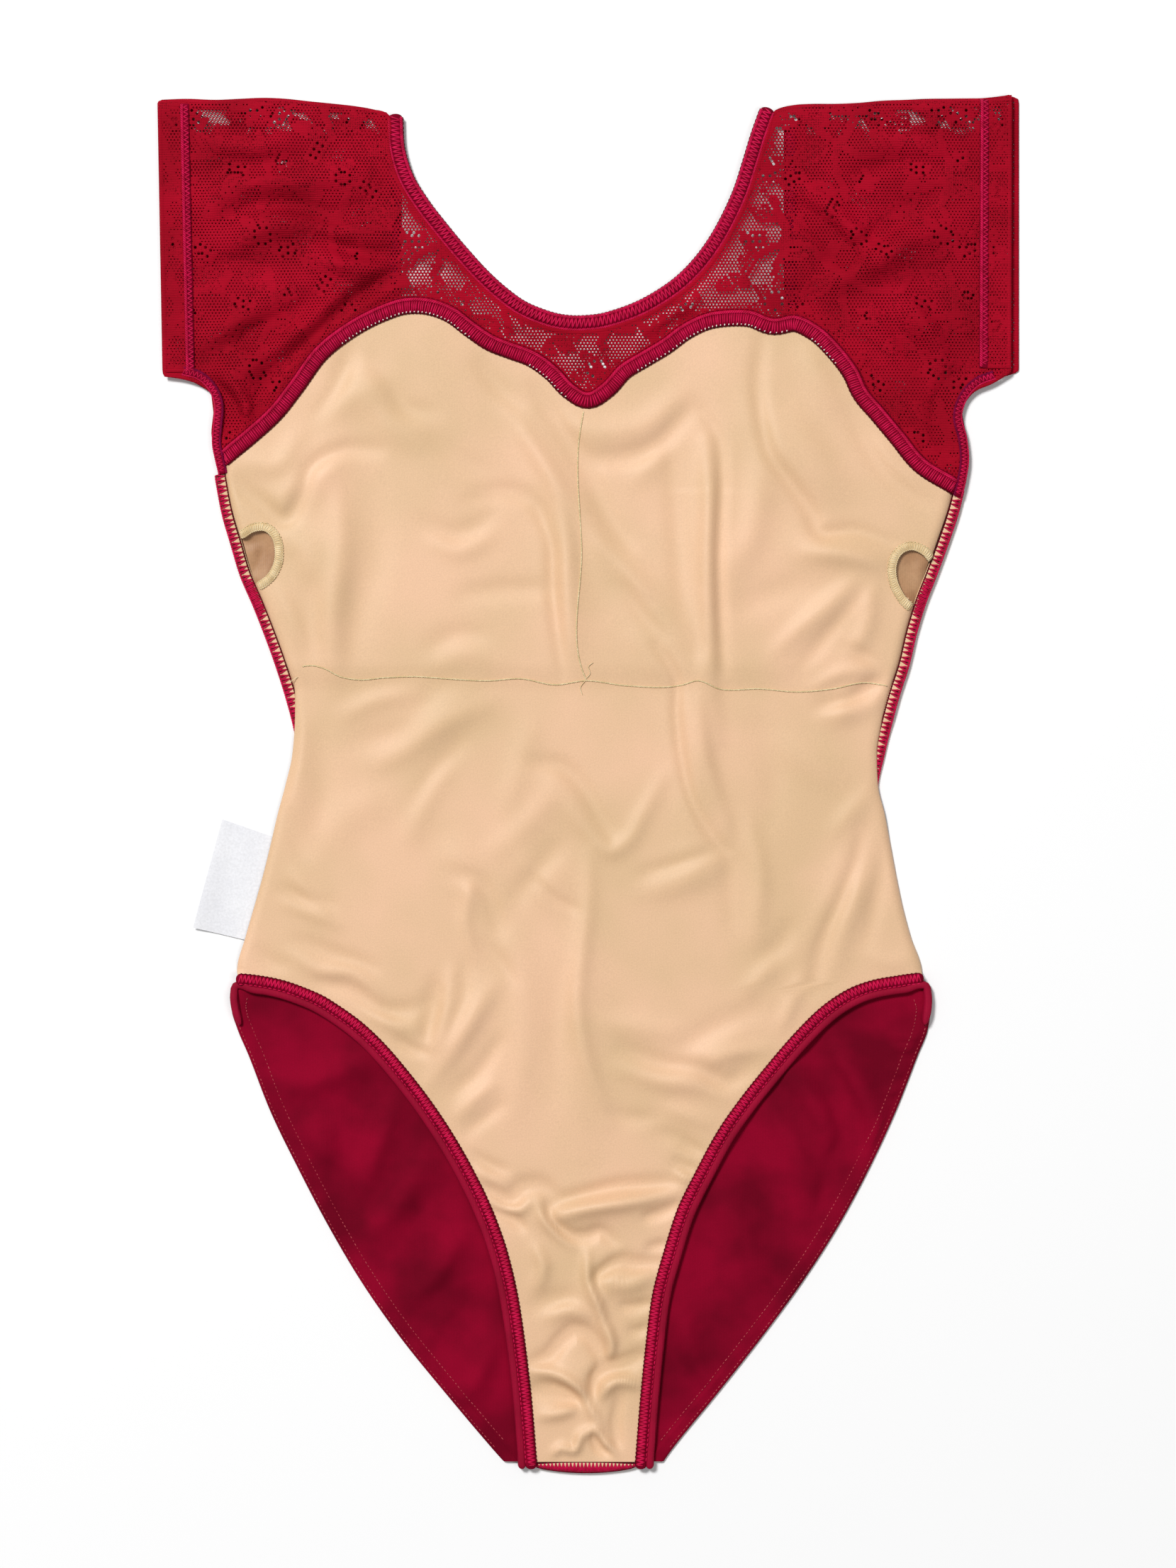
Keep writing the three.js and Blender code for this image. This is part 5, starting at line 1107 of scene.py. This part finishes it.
def make_leg_band(side):
    """An overlocked edge on the lining with a soft roll beside it, which turns the corner at the hip."""
    path = leg_line(side)
    beside = path - INWARD[side] * 1.9 * normals(path)
    roll = Ribbon(curve(np.vstack([LEG_CORNER[side], beside[8:-4:8], beside[-1]])), leg_roll_height)
    around = np.linspace(1.0, -1.0, 11)
    roll_profile = [(2.1 * t, 1.6 * math.sqrt(1 - t * t) if abs(t) < 1 else -1.5) for t in around]
    crown = (-0.4, 5.3, 1.15)
    line = Ribbon(path, lining_top, crown, INWARD[side], low=0.4)
    ground = bank(crown, [-0.5, -0.35, 0.5, 1.4, 2.5, 3.6, 4.6, 5.2, 5.3], [-0.6, 0.3], [0.35, -0.3])
    return piece(f"leg_overlock_{side}", [
        (BAND, line.strip(ground, round_ends=2.4)),
        (ELASTIC, roll.strip(roll_profile, round_ends=2.0, taper=7.0)),
        (THREAD, line.zigzag(0.8, 4.7, 1.8, 0.47, 0.04, 0.2, (1.6, -1.6))),
        (DARK_THREAD, line.scallop(5.15, 2.05, 0.2, 0.24, 0.4, (2, -1.6))),
        (THREAD, line.dashes(0.0, 2.0, 0.4, 0.36, 0.62, (1.8, -1.6))),
    ], f"leg_band_{side}")


def make_side_seam(side):
    """An overlocked edge of satin and jersey. Its line runs down, and dives under the lining on the way."""
    edge, top, dive = {"left": (seam_edges[0], 153, (46, 58)), "right": (seam_edges[1], 146, (22, 36))}[side]
    y = np.linspace(top, -90, 120)
    line = Ribbon(np.column_stack([edge(y), y]), lambda x, y: 0.9 + 1.0 * ease(y, *dive), (-0.6, 5.4, 0.85),
                  -INWARD[side])
    outline = [(-0.6, -1.0), (-0.6, 0.3), (1.0, 0.5), (2.6, 0.6), (4.0, 0.5), (5.1, 0.0), (5.1, -1.0)]
    covered = [float(np.interp(-y, -line.line[:, 1], line.at)) for y in COVERED]
    fork = (-0.46, -0.24, 0.24, 0.46)
    return piece(f"side_overlock_{side}", [
        (SATIN, line.strip(outline)),
        (THREAD, line.bars(0.3, 4.8, SIDE_PITCH, 0.3, 0.08, fork, (0.1, 0.3, 0.85, 1.0))),
        (DARK_THREAD, line.bars(0.2, 4.8, SIDE_PITCH, 0.24, 0.2, (0.0,))),
        (THREAD, line.bars(0.2, 4.7, 0.8, 0.42, 0.3, (0.4,), span=covered)),
        (DARK_THREAD, line.braid(0.1, SIDE_PITCH, 0.18, 0.24, 0.5)),
        (THREAD, line.braid(4.85, SIDE_PITCH, 0.25, 0.36, 0.35)),
    ], f"side_seam_{side}")


def make_underarm_seam(side):
    crown = (-0.5, 3.9, 1.05)
    line = Ribbon(curve(UNDERARM[side]), lambda x, y: rest(x, y) + 1.3, crown, INWARD[side])
    return piece(f"underarm_overlock_{side}", [
        (BAND, line.strip(bank(crown, np.linspace(-0.5, 3.9, 9), [-0.9], [-0.5]), round_ends=1.5)),
        (THREAD, line.zigzag(0.2, 3.0, 1.9, 0.34, 0.05)),
        (PLUM_THREAD, line.braid(3.4, 2.1, 0.35, 0.34, 0.7)),
        (THREAD, line.braid(-0.2, 2.0, 0.25, 0.3, 0.5)),
    ], f"underarm_seam_{side}")


def make_crotch_seam():
    line = Ribbon(curve([(-26, -335.6), (-14, -334.9), (-2, -334.7), (10, -334.9), (24, -335.6)]),
                  lambda x, y: np.full(np.shape(x), 1.6))
    along = np.linspace(0, line.long, 44)
    depth = 0.9 + 4.9 * np.sin(np.linspace(0.05, math.pi - 0.05, 44)) ** 0.6
    outline = [(0, 0.2), (0.06, 1.2), (0.3, 1.5), (0.7, 1.1), (0.94, 0.5), (1.0, -1.2)]
    ground = np.stack([line.place(along, -depth * share, height) for share, height in outline], 1)
    middle = np.arange(1.0, line.long - 0.8, 1.85)[:, None, None]
    fork = np.array([-0.75, -0.4, 0.0, 0.4, 0.75])[:, None] * np.array([0.1, 0.35, 1.0, 1.2])
    deep = np.interp(middle, along, depth) * np.array([0.02, 0.3, 0.62, 0.96])
    threads = line.place(middle + fork, -deep, np.array([1.5, 1.7, 1.5, 0.75]))
    return piece("crotch_overlock", [
        (SATIN, (ground.reshape(-1, 3), grid_faces(*ground.shape[:2]))),
        (THREAD, tubes(threads.reshape(-1, 4, 3), 0.28)),
        (DARK_THREAD, line.braid(-0.05, 1.85, 0.16, 0.3, 1.5)),
        (DARK_THREAD, tubes(line.place(along, -depth * 0.97, 0.6), 0.34, 6)),
    ], "crotch_seam")


def make_opening_edge(side):
    line = opening_lines[side]
    inside = line[from_side(body_edges, line[:, 0], line[:, 1]) > 0.5]
    crown = (-0.3, 3.9, 0.8)
    ribbon = Ribbon(inside, lambda x, y: rolled(x, y, lining_top(x, y), 1.6), crown, INWARD[side])
    return piece(f"pad_edge_{side}", [
        (TAN, ribbon.strip(bank(crown, np.linspace(-0.3, 3.9, 9), [-0.8], [-0.2]))),
        (CREAM, ribbon.bars(0.3, 3.4, 0.95, 0.34, 0.05, (0.35,))),
        (CREAM, ribbon.scallop(3.75, 1.1, 0.26, 0.2, 0.35)),
        (OLIVE, ribbon.dashes(3.95, 0.55, 0.75, 0.16, 0.3, turn=0.9, uneven=0.3)),
        (CREAM, ribbon.scallop(0.05, 1.1, 0.22, 0.24, 0.45)),
    ], f"pad_opening_{side}")


# ---------------------------------------------------------------- back, stitches and label


def scoop_line(step):
    """The open back's edge, down its left side, round and up its right side."""
    angle = np.linspace(math.pi, 2 * math.pi, 60)
    bottom = np.column_stack([SCOOP_X + SCOOP_HALF * np.cos(angle), SCOOP_Y + SCOOP_DEEP * np.sin(angle)])
    left, right = (SCOOP_X - SCOOP_HALF, BACK_SHOULDER), (SCOOP_X + SCOOP_HALF, BACK_SHOULDER)
    return resampled(np.vstack([left, bottom, right]), step)


def make_back():
    """The back, with its turned and stitched leg edges. The front covers it above the leg openings."""
    levels = np.concatenate([np.linspace(CROTCH_Y - 0.2, -96, 125), np.linspace(-92, BACK_TOP, 50)])
    edges = np.array([-0.15, 0.0, 0.3, 0.8, 1.5, 2.5, 4.0])
    rows = []
    for level in levels:
        left, right = (float(edge(level)) for edge in (seat_edges if level < HIP_Y else seam_edges))
        inner = np.linspace(left + 5.5, right - 5.5, 150)
        rows.append(np.concatenate([left + edges, inner, (right - edges)[::-1]]))
    x = np.array(rows)
    y = np.repeat(levels[:, None], x.shape[1], axis=1)
    share = round_over(np.minimum(x - x[:, :1], x[:, -1:] - x), 1.6)
    under = from_side(body_edges, x, y) > -3
    top = np.where(under, np.minimum(back_top(x, y), 1.7), back_top(x, y))
    top = np.where(y > -95, 1.2, top)
    points, faces = sheet(x, y, 0.1 + (top - 0.1) * share)
    middle = points[faces].mean(axis=1)
    kept = faces[~within(scoop_line(2.0), middle[:, 0], middle[:, 1])]
    level = np.linspace(-104, CROTCH_Y + 1, 120)
    stitches = []
    for inward, edge in zip(INWARD.values(), seat_edges):
        line = Ribbon(curve(np.column_stack([edge(level), level])[::3]), back_top, hand=inward)
        for inset in (1.5, HEM_WIDE - 0.9):
            stitches.append(line.dashes(inset, 1.1, 1.0, 0.19, 0.08, uneven=0.3))
    return piece("back", [(JERSEY_PAINTED_SHADE, (points, kept)), (HEM_THREAD, joined(stitches))], "back_panel")


def make_back_binding():
    line = Ribbon(scoop_line(1.5), lambda x, y: np.zeros(np.shape(x)), (-NECK_WIDE, 0, 1.4))
    return piece("back_neck_overlock", [
        (BAND, line.strip(profile(-NECK_WIDE, 0, 1.35, foot=0.05), step=3.0, round_ends=2.5)),
        (THREAD, line.zigzag(-6.2, -1.2, 3.0, 0.35, span=(3, -3))),
    ], "back_neck_binding")


def make_stitches():
    """Stitching that holds the facing: down the middle and under the bust, with loose thread ends."""
    middle = [(-2, 184), (-4, 172), (-3, 116), (-1.8, 54), (-0.5, 51)]
    under = [(-141, 58), (-136, 58.5), (-130, 57), (-122, 53), (-113, 51.5), (-100, 52.5), (-85, 53),
             (-70, 52), (-49, 51), (-33, 52), (-16, 49), (-1, 51), (19, 48.6), (47, 49), (54, 51), (65, 47),
             (85, 47), (104, 45.5), (121, 47), (137, 50), (148, 48.6)]
    lines = [Ribbon(curve(points), lining_top) for points in (middle, under)]
    tails = []
    for points in ([(-0.8, 52), (1.2, 54.5), (0.4, 58), (2.8, 60)], [(-1.2, 51), (-3.6, 47.5), (-2.6, 44)],
                   [(-147.5, 50), (-145.6, 51.2), (-143, 53)]):
        path = curve(points, 0.8)
        height = lining_top(path[:, 0], path[:, 1]) + 0.25
        tails.append(tubes(np.column_stack([path, height]), 0.2, 5))
    return piece("lining_stitches", [
        (CREAM, joined([line.braid(0, 2.4, 0.2, 0.2, 0.1) for line in lines])),
        (OLIVE, joined([line.dashes(0, 2.0, 0.4, 0.36, -0.1) for line in lines])),
        (CREAM, joined(tails)),
    ])


def make_label():
    """The care label, whose outer edge curls up."""
    corners = {"out_foot": (-195, -71), "in_foot": (-159, -79.6), "out_top": (-180.6, -17.4),
               "in_top": (-148, -28.8)}
    up, across = np.meshgrid(np.linspace(0, 1, 40), np.linspace(0, 1, 34), indexing="ij")
    plan = []
    for out_foot, in_foot, out_top, in_top in zip(*corners.values()):
        foot = out_foot + (in_foot - out_foot) * across
        head = out_top + (in_top - out_top) * across
        plan.append(foot + (head - foot) * up)
    x, y = plan
    curl = 1.6 * (1 - ease(across, 0, 0.45)) ** 2 * (0.4 + 0.6 * (1 - up))
    wave = 0.35 * np.sin(up * 5) * (1 - across)
    z = 0.75 + np.maximum(curl + wave, 0) * 0.9
    z = np.where(x > body_left(y) - 1, np.minimum(z, 1.05), z)
    return piece("hip_label", [(LABEL, sheet(x, y, z))], "care_label")


lining = make_lining()
facing = make_facing()
shell = make_shell()
lace_front = make_front_lace()
lace_back = [make_back_lace(side) for side in INWARD]
hems = [make_sleeve_hem(side) for side in INWARD]
yoke_seam = make_yoke_seam()
neck_binding = make_neck_binding()
leg_bands = [make_leg_band(side) for side in INWARD]
side_seams = [make_side_seam(side) for side in INWARD]
underarm_seams = [make_underarm_seam(side) for side in INWARD]
crotch_seam = make_crotch_seam()
opening_edges = [make_opening_edge(side) for side in INWARD]
back = make_back()
back_binding = make_back_binding()
stitches = make_stitches()
label = make_label()

# ---------------------------------------------------------------- floor, light and camera


def make_floor():
    bpy.ops.mesh.primitive_plane_add(size=40, location=(0, 0, -0.0002))
    floor = bpy.context.object
    floor.name = "floor"
    material = bpy.data.materials.new("floor_white")
    material.use_nodes = True
    shader = material.node_tree.nodes["Principled BSDF"]
    shader.inputs["Base Color"].default_value = (0.95, 0.95, 0.95, 1)
    shader.inputs["Roughness"].default_value = 0.9
    floor.data.materials.append(material)


def make_light(name, size, power, place):
    """A square area light that faces the origin."""
    data = bpy.data.lights.new(name, "AREA")
    data.shape = "RECTANGLE"
    data.size = data.size_y = size
    data.energy = power
    obj = bpy.data.objects.new(name, data)
    bpy.context.scene.collection.objects.link(obj)
    obj.location = place
    x, y, z = place
    obj.rotation_euler = (math.atan2(math.hypot(x, y), z), 0, math.atan2(x, -y))


make_floor()
make_light("key", 1.3, 268, (-2.0, 2.4, 4.4))
make_light("fill", 2.0, 30, (2.2, -1.4, 3.6))
world = bpy.data.worlds.new("studio")
world.use_nodes = True
world.node_tree.nodes["Background"].inputs["Color"].default_value = (1, 1, 1, 1)
world.node_tree.nodes["Background"].inputs["Strength"].default_value = 0.22
bpy.context.scene.world = world
bpy.context.scene.view_settings.view_transform = "Standard"

LENS, SENSOR = 85.0, 36.0
VIEW_TALL = 0.7742
camera_data = bpy.data.cameras.new("camera")
camera_data.lens = LENS
camera_data.sensor_width = SENSOR
camera_data.sensor_fit = "AUTO"
camera = bpy.data.objects.new("camera", camera_data)
camera.location = (0.0002, 0.0, VIEW_TALL * LENS / SENSOR + 0.004)
bpy.context.scene.collection.objects.link(camera)
bpy.context.scene.camera = camera
